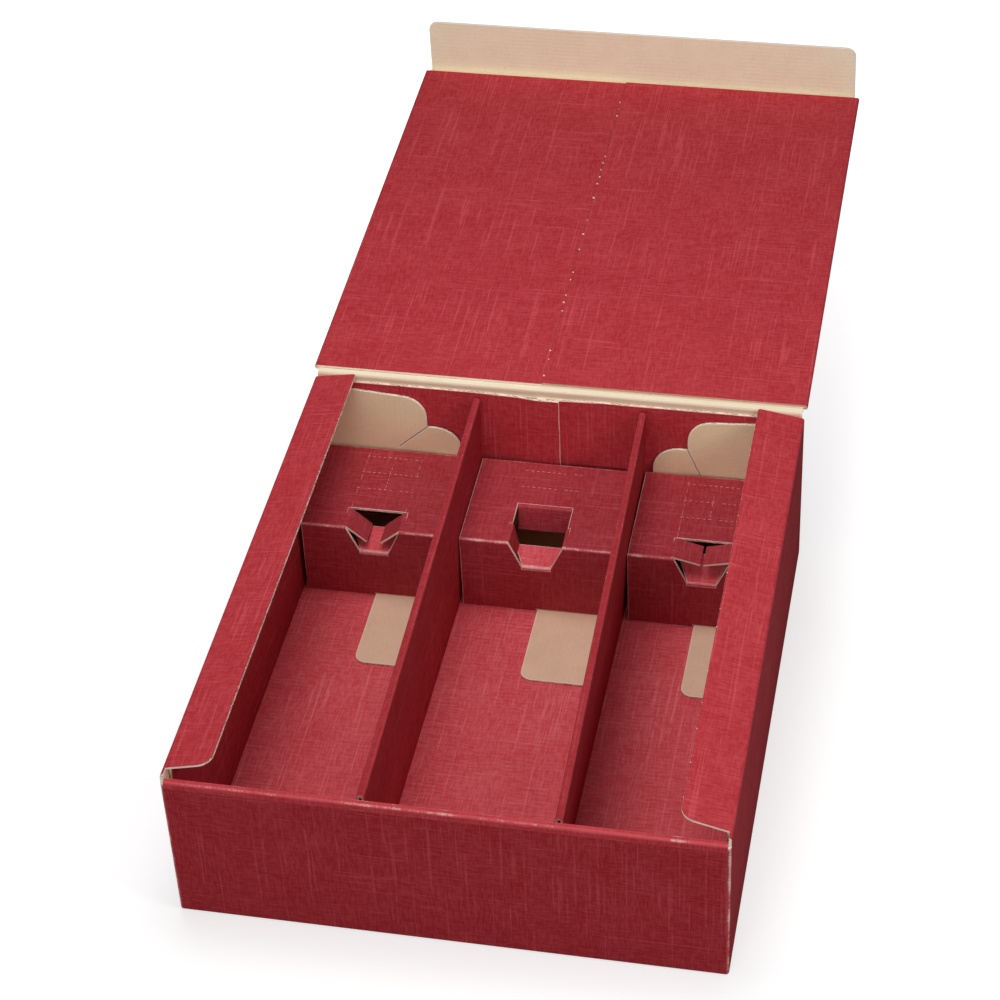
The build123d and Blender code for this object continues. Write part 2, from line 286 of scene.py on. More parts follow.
def makeLinenGroup():
    tree, given, out = startGroup("linenThreads", {"Sheet": "Vector", "Ground": "Color",
                                                   "Thread": "Color"},
                                  {"Color": "Color", "Height": "Float"})
    calc, ramp, noise, tint = toolsFor(tree)
    sheet = given["Sheet"]
    patch = ramp(noise(sheet, linen["patch"], shift=8.3, detail=4.0), *linen["patchRange"])
    against = calc("SUBTRACT", 1.0, patch)
    warp = noise(sheet, linen["thread"], shift=0.3)
    weft = noise(sheet, linen["thread"][::-1], shift=3.7)
    warp = calc("MULTIPLY", warp, calc("MULTIPLY_ADD", patch, *linen["patchShare"]))
    weft = calc("MULTIPLY", weft, calc("MULTIPLY_ADD", against, *linen["patchShare"]))
    bars = noise(sheet, linen["bar"], shift=6.1, detail=1.0)
    fine = calc("MULTIPLY_ADD", bars, linen["barShare"], calc("ADD", warp, weft))
    fine = ramp(fine, *linen["threadRange"])

    long = ramp(noise(sheet, linen["slub"], shift=11.9, detail=0.0), *linen["longRange"])
    longShows = ramp(noise(sheet, linen["break"], shift=13.1), *linen["longShows"])
    cross = ramp(noise(sheet, linen["slub"][::-1], shift=17.2, detail=0.0), *linen["crossRange"])
    crossShows = ramp(noise(sheet, linen["break"][::-1], shift=19.7), *linen["crossShows"])
    slubs = calc("MAXIMUM", calc("MULTIPLY", long, longShows), calc("MULTIPLY", cross, crossShows))

    blotch = noise(sheet, linen["blotch"], shift=23.0, detail=4.0)
    light = calc("MULTIPLY_ADD", slubs, linen["slubLight"],
                 calc("MULTIPLY", fine, linen["threadLight"]))
    light = calc("ADD", light, calc("MULTIPLY_ADD", blotch, *linen["blotchLight"]), clamp=True)
    return endGroup(tree, out, Color=tint(light, given["Ground"], given["Thread"]),
                    Height=calc("MULTIPLY_ADD", slubs, linen["slubHeight"], fine))


flutes = {
    "sway": 14,  # the flutes don't run quite straight
    "swayBy": 3.0,
    "patch": 30,  # where they show more
    "patchRange": (0.34, 0.62, 0.25, 1.0),
    "shadeRange": (0.2, -1.0),
}


def makeRibGroup():
    # The corrugation showing through the liner as faint ribs; Mask is the painted shade in their
    # troughs, Height their bump
    tree, given, out = startGroup("fluteRibs", {"Sheet": "Vector", "Across": "Float"},
                                  {"Mask": "Float", "Height": "Float"})
    calc, ramp, noise = toolsFor(tree)[:3]
    phase = calc("MULTIPLY", given["Across"], 2 * math.pi / board["flute"])
    sway = noise(given["Sheet"], flutes["sway"], shift=5.1, detail=1.0)
    ribs = calc("SINE", calc("MULTIPLY_ADD", sway, flutes["swayBy"], phase))
    patch = noise(given["Sheet"], flutes["patch"], shift=9.4)
    height = calc("MULTIPLY", ribs, ramp(patch, *flutes["patchRange"]))
    return endGroup(tree, out, Mask=ramp(height, *flutes["shadeRange"]), Height=height)


pulp = {
    "cloud": 70,
    "cloudShade": (0.5, -0.17),
    "cloudHeight": 1.5,
    "strands": (1300, 190),
    "crossStrands": (210, 1200),
    "turns": (0.35, -0.5),
    "strandRange": (0.5, 0.78),
    "strandShade": 0.26,
    "fleck": 620,
    "fleckRange": (0.7, 0.78),
    "fleckShade": 0.45,
}


def makeFibreGroup():
    tree, given, out = startGroup("kraftFibres", {"Sheet": "Vector", "Ground": "Color",
                                                  "Fibre": "Color"},
                                  {"Color": "Color", "Height": "Float"})
    calc, ramp, noise, tint = toolsFor(tree)
    sheet = given["Sheet"]
    cloud = noise(sheet, pulp["cloud"], shift=1.3, detail=5.0)
    first = noise(sheet, pulp["strands"], shift=2.9, turn=pulp["turns"][0])
    second = noise(sheet, pulp["crossStrands"], shift=4.4, turn=pulp["turns"][1])
    strands = calc("MAXIMUM", first, second)
    fleck = ramp(noise(sheet, pulp["fleck"], shift=7.7, detail=1.0), *pulp["fleckRange"])
    shade = calc("MULTIPLY", ramp(strands, *pulp["strandRange"]), pulp["strandShade"])
    shade = calc("ADD", shade, calc("MULTIPLY_ADD", cloud, *pulp["cloudShade"]))
    shade = calc("ADD", shade, calc("MULTIPLY", fleck, pulp["fleckShade"]), clamp=True)
    return endGroup(tree, out, Color=tint(shade, given["Ground"], given["Fibre"]),
                    Height=calc("MULTIPLY_ADD", cloud, pulp["cloudHeight"], strands))


wear = {
    "broad": 90,
    "broadShare": 0.9,
    "grain": 900,
    "grainShare": 0.5,
    "noiseShare": 0.9,
    "edgeRange": (1.25, 1.6),
    "edgeFade": 3.0,
    "foldRange": (1.38, 1.72),
}


def makeScuffGroup():
    # Rubbed cut edges and cracked folds, broken up by noise
    tree, given, out = startGroup("scuffing", {"Sheet": "Vector", "Rub": "Float",
                                               "Crease": "Float"}, {"Mask": "Float"})
    calc, ramp, noise = toolsFor(tree)[:3]
    broad = noise(given["Sheet"], wear["broad"], shift=12.5, detail=3.0)
    grain = noise(given["Sheet"], wear["grain"], shift=14.1)
    uneven = calc("MULTIPLY_ADD", grain, wear["grainShare"],
                  calc("MULTIPLY", broad, wear["broadShare"]))
    edge = calc("MULTIPLY_ADD", uneven, wear["noiseShare"], given["Rub"])
    edge = calc("MULTIPLY", ramp(edge, *wear["edgeRange"]),
                calc("MULTIPLY", given["Rub"], wear["edgeFade"], clamp=True))
    fold = calc("MULTIPLY_ADD", uneven, wear["noiseShare"], given["Crease"])
    return endGroup(tree, out, Mask=calc("MAXIMUM", edge, ramp(fold, *wear["foldRange"])))


section = {  # depths are shares of half the board's thickness
    "sway": 60,
    "swayBy": 5.0,
    "swing": 0.6,
    "medium": (0.16, 0.4),  # the waving layer, from its middle to the open gap
    "liner": (0.8, 0.62),
    "crushed": (260, 700),
    "crushedRange": (0.4, 0.62),
    "print": (0.3, 0.12),
    "rough": (900, 500),
    "gapDepth": -2.0,
}


def makeCutGroup():
    # Section of the board in the cut: two liners and the waving layer between them; Gap is where
    # the flutes lie open, sunk by the bump and painted dark as shade
    tree, given, out = startGroup("cutSection", {"Sheet": "Vector", "Wave": "Float"},
                                  {"Gap": "Float", "Print": "Float", "Height": "Float"})
    calc, ramp, noise = toolsFor(tree)[:3]
    sheet = given["Sheet"]
    parts = addNode(tree, "ShaderNodeSeparateXYZ", {0: sheet}).outputs
    middle = calc("SUBTRACT", parts[1], half)
    phase = calc("MULTIPLY", parts[0], 2 * math.pi / board["flute"])
    sway = noise(sheet, section["sway"], shift=3.0, detail=1.0)
    swing = calc("SINE", calc("MULTIPLY_ADD", sway, section["swayBy"], phase))
    line = calc("MULTIPLY", swing, half * section["swing"])
    away = calc("ABSOLUTE", calc("SUBTRACT", middle, line))
    medium, liner, skin = ([half * share for share in section[layer]]
                           for layer in ("medium", "liner", "print"))
    gap = calc("MULTIPLY", ramp(away, *medium), ramp(calc("ABSOLUTE", middle), *liner))
    crushed = noise(sheet, section["crushed"], shift=6.0, detail=3.0)
    gap = calc("MULTIPLY", gap, ramp(crushed, *section["crushedRange"]))
    gap = calc("MULTIPLY", gap, given["Wave"])
    rough = noise(sheet, section["rough"], shift=8.0, detail=3.0)
    return endGroup(tree, out, Gap=gap, Print=ramp(parts[1], *skin),
                    Height=calc("MULTIPLY_ADD", gap, section["gapDepth"], rough))


def makeMaterial(name, look, paint):
    # paint adds the nodes of a look and returns its colour and its height
    material = bpy.data.materials.new(name)
    material.use_nodes = True
    tree = material.node_tree
    shader = tree.nodes["Principled BSDF"]
    shader.inputs["Roughness"].default_value = look["roughness"]
    shader.inputs["Specular IOR Level"].default_value = look["specular"]
    color, height = paint(tree, look)
    tree.links.new(color, shader.inputs["Base Color"])
    bump = addNode(tree, "ShaderNodeBump", {"Height": height, "Distance": look["emboss"],
                                            "Strength": 1.0})
    tree.links.new(bump.outputs[0], shader.inputs["Normal"])
    return material


def readSheet(tree):
    return addNode(tree, "ShaderNodeUVMap", uv_map="Sheet").outputs[0]


def readPoint(tree, label):
    return addNode(tree, "ShaderNodeAttribute", attribute_name=label).outputs["Fac"]


def paintPrint(tree, look):
    calc, ramp, _, tint = toolsFor(tree)
    sheet, crease = readSheet(tree), readPoint(tree, "crease")
    threads = useGroup(tree, linenGroup, Sheet=sheet, Ground=look["ground"], Thread=look["thread"])
    ribs = useGroup(tree, ribGroup, Sheet=sheet, Across=readPoint(tree, "across"))
    scuffs = useGroup(tree, scuffGroup, Sheet=sheet, Rub=readPoint(tree, "rub"), Crease=crease)
    # Painted shade in the flute troughs, towards the shadow colour
    color = tint(calc("MULTIPLY", ribs["Mask"], look["ribs"]), threads["Color"], look["shadow"])
    # Fold crests lightened: partly rubbed print, partly a painted highlight
    color = tint(ramp(crease, *look["crestRange"], 0.0, look["crest"]), color, look["thread"])
    color = tint(scuffs["Mask"], color, look["scuffed"])
    return color, calc("MULTIPLY_ADD", ribs["Height"], look["ribHeight"], threads["Height"])


def paintKraft(tree, look):
    calc, ramp, noise, tint = toolsFor(tree)
    sheet = readSheet(tree)
    fibres = useGroup(tree, fibreGroup, Sheet=sheet, Ground=look["ground"], Fibre=look["fibre"])
    ribs = useGroup(tree, ribGroup, Sheet=sheet, Across=readPoint(tree, "across"))
    # Painted shade in the flute troughs, towards the fibre colour
    color = tint(calc("MULTIPLY", ribs["Mask"], look["ribs"]), fibres["Color"], look["fibre"])
    lines = ramp(noise(sheet, look["lines"], shift=6.6), *look["lineRange"])
    # Pressed kraft: crushed crease lines along folds with painted shade, and painted shade on the
    # bands a sheet lists
    pressed = calc("MULTIPLY", ramp(readPoint(tree, "crease"), *look["pressedRange"]), lines)
    color = tint(pressed, color, look["pressed"])
    color = tint(calc("MULTIPLY", readPoint(tree, "rub"), look["rubbed"]), color, look["pale"])
    return color, calc("MULTIPLY_ADD", ribs["Height"], look["ribHeight"], fibres["Height"])


def paintCut(tree, look):
    sheet = readSheet(tree)
    fibres = useGroup(tree, fibreGroup, Sheet=sheet, Ground=look["ground"], Fibre=look["fibre"])
    layers = useGroup(tree, cutGroup, Sheet=sheet, Wave=readPoint(tree, "wave"))
    # Painted shade in the open flutes
    color = addTint(tree, layers["Gap"], fibres["Color"], look["gap"])
    return addTint(tree, layers["Print"], color, look["print"]), layers["Height"]


def paintTorn(tree, look):
    place = addNode(tree, "ShaderNodeTexCoord").outputs["Object"]
    fibres = useGroup(tree, fibreGroup, Sheet=place, Ground=look["ground"], Fibre=look["fibre"])
    return fibres["Color"], fibres["Height"]


linenGroup, ribGroup, fibreGroup = makeLinenGroup(), makeRibGroup(), makeFibreGroup()
scuffGroup, cutGroup = makeScuffGroup(), makeCutGroup()

outerPrint = {
    "ground": (0.44, 0.022, 0.031, 1),
    "thread": (0.70, 0.10, 0.12, 1),
    "shadow": (0.30, 0.012, 0.020, 1),
    "scuffed": (0.86, 0.50, 0.47, 1),
    "roughness": 0.7,
    "specular": 0.17,
    "ribs": 0.1,
    "crest": 0.8,  # how much a fold's crest is lightened to the thread's colour: partly rubbed print, partly painted highlight
    "crestRange": (0.4, 0.9),
    "ribHeight": 0.5,
    "emboss": 0.00006,
}
# A lighter copy of the print for the insert's floors and the collars' front flaps: painted light
litInnerPrint = dict(outerPrint, ground=(0.68, 0.062, 0.080, 1), thread=(0.94, 0.23, 0.26, 1))
# Darker copies of the print for the walls and for the neck bridges: painted shade
shadedWallPrint = dict(outerPrint, ground=(0.335, 0.018, 0.025, 1), thread=(0.53, 0.076, 0.09, 1),
                 shadow=(0.25, 0.009, 0.015, 1), specular=0.03)
shadedBridgePrint = dict(shadedWallPrint, ground=(0.36, 0.029, 0.038, 1), thread=(0.56, 0.10, 0.12, 1))
# Kraft toned lighter than its own colour: painted light, which brightens the tuck flap
litKraft = {
    "ground": (1.0, 0.91, 0.68, 1),
    "fibre": (0.82, 0.65, 0.45, 1),
    "pressed": (0.74, 0.53, 0.38, 1),  # crushed along a fold, and painted shade on the hinge strips and the lid board
    "pressedRange": (0.2, 0.8),
    "lines": (2200, 9),
    "lineRange": (0.3, 0.7, 0.55, 1.0),
    "pale": (1.0, 0.92, 0.80, 1),
    "rubbed": 0.5,
    "roughness": 0.85,
    "specular": 0.15,
    "ribs": 0.1,
    "ribHeight": 0.5,
    "emboss": 0.00005,
}
innerKraft = dict(litKraft, ground=(0.87, 0.60, 0.42, 1), fibre=(0.62, 0.41, 0.26, 1), ribs=0.04)
# A darker copy of the kraft for the ears: painted shade
shadedEarKraft = dict(litKraft, ground=(0.97, 0.79, 0.51, 1), fibre=(0.74, 0.56, 0.35, 1), ribs=0.04)
cutLook = {
    "ground": (1.0, 0.86, 0.73, 1),
    "fibre": (0.80, 0.60, 0.46, 1),
    # gap: painted shade inside the open flutes
    "gap": (0.32, 0.20, 0.13, 1),
    "print": (0.62, 0.16, 0.15, 1),
    "roughness": 0.9,
    "specular": 0.1,
    "emboss": 0.00006,
}
# A darker copy of the cut edge for the right lid lining: painted shade of the gap beneath it
shadedCutLook = dict(cutLook, ground=(0.62, 0.42, 0.31, 1), fibre=(0.40, 0.24, 0.17, 1))
tornLook = {
    "ground": (1.0, 0.78, 0.70, 1),
    "fibre": (0.86, 0.58, 0.52, 1),
    "roughness": 0.95,
    "specular": 0.1,
    "emboss": 0.00004,
}
scoredLook = dict(tornLook, ground=(0.90, 0.46, 0.43, 1), fibre=(0.74, 0.30, 0.29, 1))

tornFibre = makeMaterial("tornFibre", tornLook, paintTorn)
scoredPrint = makeMaterial("scoredPrint", scoredLook, paintTorn)
cutEdge = makeMaterial("cutEdge", cutLook, paintCut)
shadedCutEdge = makeMaterial("shadedCutEdge", shadedCutLook, paintCut)
outerLinen = makeMaterial("outerLinenPrint", outerPrint, paintPrint)
litLiner = makeMaterial("litKraftLiner", litKraft, paintKraft)
litInnerLinen = makeMaterial("litInnerLinenPrint", litInnerPrint, paintPrint)
innerLiner = makeMaterial("innerKraftLiner", innerKraft, paintKraft)
shadedWallLinen = makeMaterial("shadedWallLinenPrint", shadedWallPrint, paintPrint)

# What a sheet is dressed in: its printed face, its kraft face and its cut edge. The lighter and
# darker copies among them are painted light and painted shade
outerBoard = (outerLinen, litLiner, cutEdge)
shadedEdgeBoard = (outerLinen, litLiner, shadedCutEdge)
innerBoard = (litInnerLinen, innerLiner, cutEdge)
shadedWallBoard = (shadedWallLinen, litLiner, cutEdge)
earBoard = (outerLinen, makeMaterial("shadedEarKraftLiner", shadedEarKraft, paintKraft), cutEdge)
shadedBridgeBoard = (makeMaterial("shadedBridgeLinenPrint", shadedBridgePrint, paintPrint), innerLiner, cutEdge)
insertBoard = (shadedWallLinen, innerLiner, cutEdge, litInnerLinen)  # the last one, the lighter copy of the print, is painted light on its floors; the first, the darker copy, is painted shade on its walls


# Folded paths

def foldPath(corners, radius=board["bend"]):
    # A centre line of straight stretches joined by arcs, as a list of stretches
    points = [Vector(c) for c in corners]
    radii = radius if isinstance(radius, (list, tuple)) else [radius] * (len(points) - 2)
    stretches, at, start = [], 0.0, points[0]
    for i in range(len(points) - 1):
        way = (points[i + 1] - points[i]).normalized()
        end, arc = points[i + 1], None
        if i + 2 < len(points):
            after = (points[i + 2] - points[i + 1]).normalized()
            turn = math.atan2(way.x * after.y - way.y * after.x, way.dot(after))
            if abs(turn) > 1e-6:
                end = end - way * radii[i] * math.tan(abs(turn) / 2)
                arc = (radii[i] * abs(turn), turn)
        length = (end - start).dot(way)
        stretches.append((at, length, start, way, 0.0))
        at += length
        start = end
        if arc:
            stretches.append((at, arc[0], end, way, arc[1] / arc[0]))
            at += arc[0]
            start = points[i + 1] + after * radii[i] * math.tan(abs(turn) / 2)
    return stretches


def findStretch(path, s):
    # Index of the stretch that holds s, and how far along it s lies, from 0 to 1
    index = 0
    for k, stretch in enumerate(path):
        if s >= stretch[0] - 1e-9:
            index = k
    return index, (s - path[index][0]) / max(path[index][1], 1e-9)


def onStretch(stretch, share):
    # Point and left normal of the centre line; past the path's ends it runs on straight
    at, length, start, way, bend = stretch
    side = Vector((-way.y, way.x))
    if not bend:
        return start + way * length * share, side
    middle = start + side / bend
    spin = Matrix.Rotation(bend * length * share, 2)
    return middle + spin @ (start - middle), spin @ side


def alongPath(path, s):
    index, share = findStretch(path, s)
    return onStretch(path[index], share)


def bendRows(path, steps=5, reach=(0.6 * mm, 1.4 * mm)):
    # Rows of points across every crease, and the crease places themselves
    rows, folds = [], []
    for at, length, start, way, bend in path:
        if bend:
            rows += [at + length * k / steps for k in range(steps + 1)]
            rows += [at - r for r in reach] + [at + length + r for r in reach]
            folds.append((at, at + length))
    return rows, folds


def stretchAt(path, index):
    # Start and length of the n-th straight stretch
    straight = [s for s in path if not s[4]]
    return straight[index][0], straight[index][1]


def pathEnd(path):
    return path[-1][0] + path[-1][1]


sheetMesh = {
    "roundStep": math.radians(11),  # between two points of a rounded corner
    "mitre": 0.3,  # the smaller, the further a sharp corner may shoot out
    "over": 5 * mm,  # how far the lines of a grid run past the outline
    "apart": 0.4 * mm,  # how near a grid's line comes to a given one
    "scale": 1000.0,  # the triangulation works in millimetres
    "merge": 1e-4,
    "sharpFrom": math.radians(32),
    "creaseReach": 1.3 * mm,  # how far a fold's wear, its painted highlight and its painted shade reach
    "pressSlope": 0.4 * mm,  # how fast the colour of a pressed and shaded band ends
}


def roundedLoop(points):
    # Closed outline; each point is (s, t) or (s, t, corner radius)
    loop, count = [], len(points)
    for i, point in enumerate(points):
        here = Vector(point[:2])
        radius = point[2] if len(point) > 2 else 0
        before = Vector(points[i - 1][:2]) - here
        after = Vector(points[(i + 1) % count][:2]) - here
        if not radius:
            loop.append(here)
            continue
        before.normalize()
        after.normalize()
        opening = math.acos(max(-1, min(1, before.dot(after))))
        cut = radius / math.tan(opening / 2)
        first, last = here + before * cut, here + after * cut
        middle = here + (before + after).normalized() * radius / math.sin(opening / 2)
        sweep = math.pi - opening
        steps = max(3, round(sweep / sheetMesh["roundStep"]))
        way = first - middle
        turn = 1 if way.x * (last - middle).y - way.y * (last - middle).x > 0 else -1
        for k in range(steps + 1):
            loop.append(middle + Matrix.Rotation(turn * sweep * k / steps, 2) @ way)
    return loop


def loopArea(loop):
    return sum(a.x * b.y - a.y * b.x for a, b in zip(loop, loop[1:] + loop[:1])) / 2


def shiftLoop(loop, amount):
    # Counter-clockwise loop moved inwards by amount
    moved = []
    for i, here in enumerate(loop):
        a = (here - loop[i - 1]).normalized()
        b = (loop[(i + 1) % len(loop)] - here).normalized()
        na, nb = Vector((-a.y, a.x)), Vector((-b.y, b.x))
        moved.append(here + (na + nb) * amount / max(sheetMesh["mitre"], 1 + na.dot(nb)))
    return moved


def spread(low, high, size):
    # Even places from low to high, at most size apart
    count = max(1, math.ceil((high - low) / size))
    return [low + (high - low) * k / count for k in range(count + 1)]


def fillOutline(outline, holes, rows, columns, grid):
    # Triangles between the outline and its holes, with points along every row and column
    crush, over, scale = board["crush"], sheetMesh["over"], sheetMesh["scale"]
    loops = [roundedLoop(points) for points in (outline, *holes)]
    for loop in loops:
        if loopArea(loop) < 0:
            loop.reverse()
    lowS, highS = min(p.x for p in loops[0]), max(p.x for p in loops[0])
    lowT, highT = min(p.y for p in loops[0]), max(p.y for p in loops[0])
    inwards = [1] + [-1] * len(holes)
    loops = [shiftLoop(loop, crush * way) for loop, way in zip(loops, inwards)]
    coords, faces, edges = [], [], []
    for loop in loops:
        faces.append(list(range(len(coords), len(coords) + len(loop))))
        coords += loop
    for loop, way in zip(loops, inwards):
        base, count = len(coords), len(loop)
        coords += shiftLoop(loop, board["rub"] * way)
        edges += [(base + k, base + (k + 1) % count) for k in range(count)]
    rows, columns = list(rows), list(columns)
    if grid:
        rows += [s for s in spread(lowS, highS, grid)[1:-1]
                 if all(abs(s - r) > sheetMesh["apart"] for r in rows)]
        columns += spread(lowT, highT, grid)[1:-1]
    lines = [((s, lowT - over), (s, highT + over)) for s in rows
             if lowS + crush * 2 < s < highS - crush * 2]
    lines += [((lowS - over, t), (highS + over, t)) for t in columns
              if lowT + crush * 2 < t < highT - crush * 2]
    for line in lines:
        edges.append((len(coords), len(coords) + 1))
        coords += [Vector(end) for end in line]
    found = geometry.delaunay_2d_cdt([c * scale for c in coords], edges, faces, 0,
                                     sheetMesh["merge"])
    points = [Vector(p) / scale for p in found[0]]
    triangles = [face for face, ids in zip(found[2], found[5])
                 if 0 in ids and not any(k in ids for k in range(1, len(loops)))]
    directed = dict.fromkeys(way for tri in triangles for way in zip(tri, tri[1:] + tri[:1]))
    return points, triangles, [(a, b) for a, b in directed if (b, a) not in directed]


def makeSheet(name, outline, place, holes=(), rows=(), columns=(), folds=(), grid=None,
              flush=None, sheetAt=(0.0, 0.0), flutesAlongS=True, boards=outerBoard, worn=1.0,
              pressed=(), light=None):
    # A closed slab of board: outline and holes in (s, t), mapped by place(s, t, depth). Its cut
    # edge is rubbed except where it is flush with another piece; the pressed bands are spans of s
    # where the kraft side is crushed and carries painted shade, light tells where the print is the
    # fourth board, a lighter copy that is painted light, the wear strength scales rubbed edges,
    # fold scuffs and the folds' painted highlight and shade, and sheetAt is where the piece lies
    # on the endless sheet of print
    points, triangles, rim = fillOutline(outline, holes, rows, columns, grid)
    crush, slope, reach = board["crush"], sheetMesh["pressSlope"], sheetMesh["creaseReach"]
    after, before = dict(rim), {b: a for a, b in rim}

    def outward(v):
        a = (points[v] - points[before[v]]).normalized()
        b = (points[after[v]] - points[v]).normalized()
        na, nb = Vector((a.y, -a.x)), Vector((b.y, -b.x))
        return (na + nb) / max(sheetMesh["mitre"], 1 + na.dot(nb)) * crush

    def creaseLevel(s, depth):
        if depth < 0 and pressed:
            return max(level * max(0.0, min(1.0, (s - a) / slope, (b - s) / slope))
                       for a, b, level in pressed)
        gap = min((abs(2 * s - a - b) / (b - a + 2 * reach) for a, b in folds), default=1.0)
        return max(0.0, 1 - gap) * worn

    bm = bmesh.new()
    rubLayer = bm.verts.layers.float.new("rub")
    creaseLayer = bm.verts.layers.float.new("crease")
    acrossLayer = bm.verts.layers.float.new("across")
    waveLayer = bm.faces.layers.float.new("wave")
    sheetLayer = bm.loops.layers.uv.new("Sheet")
    where = {}

    def addVertex(s, t, depth, rub):
        vertex = bm.verts.new(place(s, t, depth))
        vertex[rubLayer] = rub * worn
        vertex[acrossLayer] = t if flutesAlongS else s
        vertex[creaseLayer] = creaseLevel(s, depth)
        where[vertex] = (s, t, depth)
        return vertex

    top, bottom, topRim, bottomRim = {}, {}, {}, {}
    for v in sorted({v for tri in triangles for v in tri}):
        s, t = points[v]
        level = bool(flush and v in after and flush(s, t))
        rub = 1.0 if v in after and not level else 0.0
        top[v] = addVertex(s, t, half, rub)
        bottom[v] = addVertex(s, t, -half, rub)
        if v in after:
            so, to = outward(v)
            edgeDepth = half if level else half - crush
            topRim[v] = addVertex(s + so, t + to, edgeDepth, rub)
            bottomRim[v] = addVertex(s + so, t + to, -edgeDepth, rub)

    def addFace(vertices, slot, wave=0.0, alongEdge=None):
        face = bm.faces.new(vertices)
        face.material_index = slot
        face.smooth = True
        face[waveLayer] = wave
        for loop in face.loops:
            s, t, depth = where[loop.vert]
            if alongEdge is None:
                loop[sheetLayer].uv = (s + sheetAt[0], t + sheetAt[1])
            else:
                loop[sheetLayer].uv = (s * alongEdge.x + t * alongEdge.y, half - depth)

    for a, b, c in triangles:
        lit = light and light((points[a].x + points[b].x + points[c].x) / 3)
        addFace((top[a], top[b], top[c]), 3 if lit else 0)
        addFace((bottom[c], bottom[b], bottom[a]), 1)
    for a, b in rim:
        way = (points[b] - points[a]).normalized()
        wave = abs(way.y) if flutesAlongS else abs(way.x)
        addFace((top[b], top[a], topRim[a], topRim[b]), 0)
        addFace((topRim[b], topRim[a], bottomRim[a], bottomRim[b]), 2, wave, way)
        addFace((bottomRim[b], bottomRim[a], bottom[a], bottom[b]), 1)
    bmesh.ops.recalc_face_normals(bm, faces=bm.faces)
    mesh = bpy.data.meshes.new(name)
    bm.to_mesh(mesh)
    bm.free()
    mesh.set_sharp_from_angle(angle=sheetMesh["sharpFrom"])
    for material in boards:
        mesh.materials.append(material)
    return addObject(name, mesh)


def makeFolded(name, path, outline, place, **settings):
    rows, folds = bendRows(path)
    return makeSheet(name, outline, place, rows=rows, folds=folds, **settings)


def mirrored(points):
    # An outline from its first half, which runs on the side where t is negative
    return points + [(s, -t, *corner) for s, t, *corner in reversed(points)]


def sided(word, side):
    return word + ("_left" if side < 0 else "_right")


def alongBoard(origin, along, across, normal):
    # Flat board: depth 0 is the middle of its thickness
    return lambda s, t, depth: origin + along * s + across * t + normal * depth


def aroundPath(path, origin, axisA, axisB, axisT, side=1):
    # Folded board: side is -1 where the print is on the right of the path
    def place(s, t, depth):
        point, out = alongPath(path, s)
        point = point + out * depth * side
        return origin + axisA * point.x + axisB * point.y + axisT * t

    return place


zero = Vector((0, 0, 0))


# Torn fibres: perforations, nicks and specks, scattered along lines by Geometry Nodes

markKinds = {
    "perforations": {"Pitch": 3.1 * mm, "Length": 2.5 * mm, "Width": 0.32 * mm,
                     "Stray": 0.05 * mm, "Keep": 0.9, "Seed": 4},
    "scores": {"Pitch": 6.0 * mm, "Length": 5.6 * mm, "Width": 0.2 * mm,
               "Stray": 0.02 * mm, "Keep": 0.85, "Seed": 7},
    "shoulder_nicks": {"Pitch": 5.0 * mm, "Length": 0.9 * mm, "Width": 0.6 * mm,
                       "Stray": 0.12 * mm, "Keep": 0.3, "Seed": 9},
    "ear_nicks": {"Pitch": 5.0 * mm, "Length": 0.9 * mm, "Width": 0.6 * mm,
                  "Stray": 0.12 * mm, "Keep": 0.4, "Seed": 15},
    "seam_specks": {"Pitch": 8.0 * mm, "Length": 1.4 * mm, "Width": 1.3 * mm,
                    "Stray": 0.3 * mm, "Keep": 0.36, "Seed": 12},
}
markStretch = ((0.7, 0.55, 0.55), (1.1, 1.2, 1.2))  # least and most, along and across a mark
markBead = {"Segments": 8, "Rings": 5, "Radius": 0.5}
markLines = {kind: [] for kind in markKinds}  # filled by the pieces that carry them


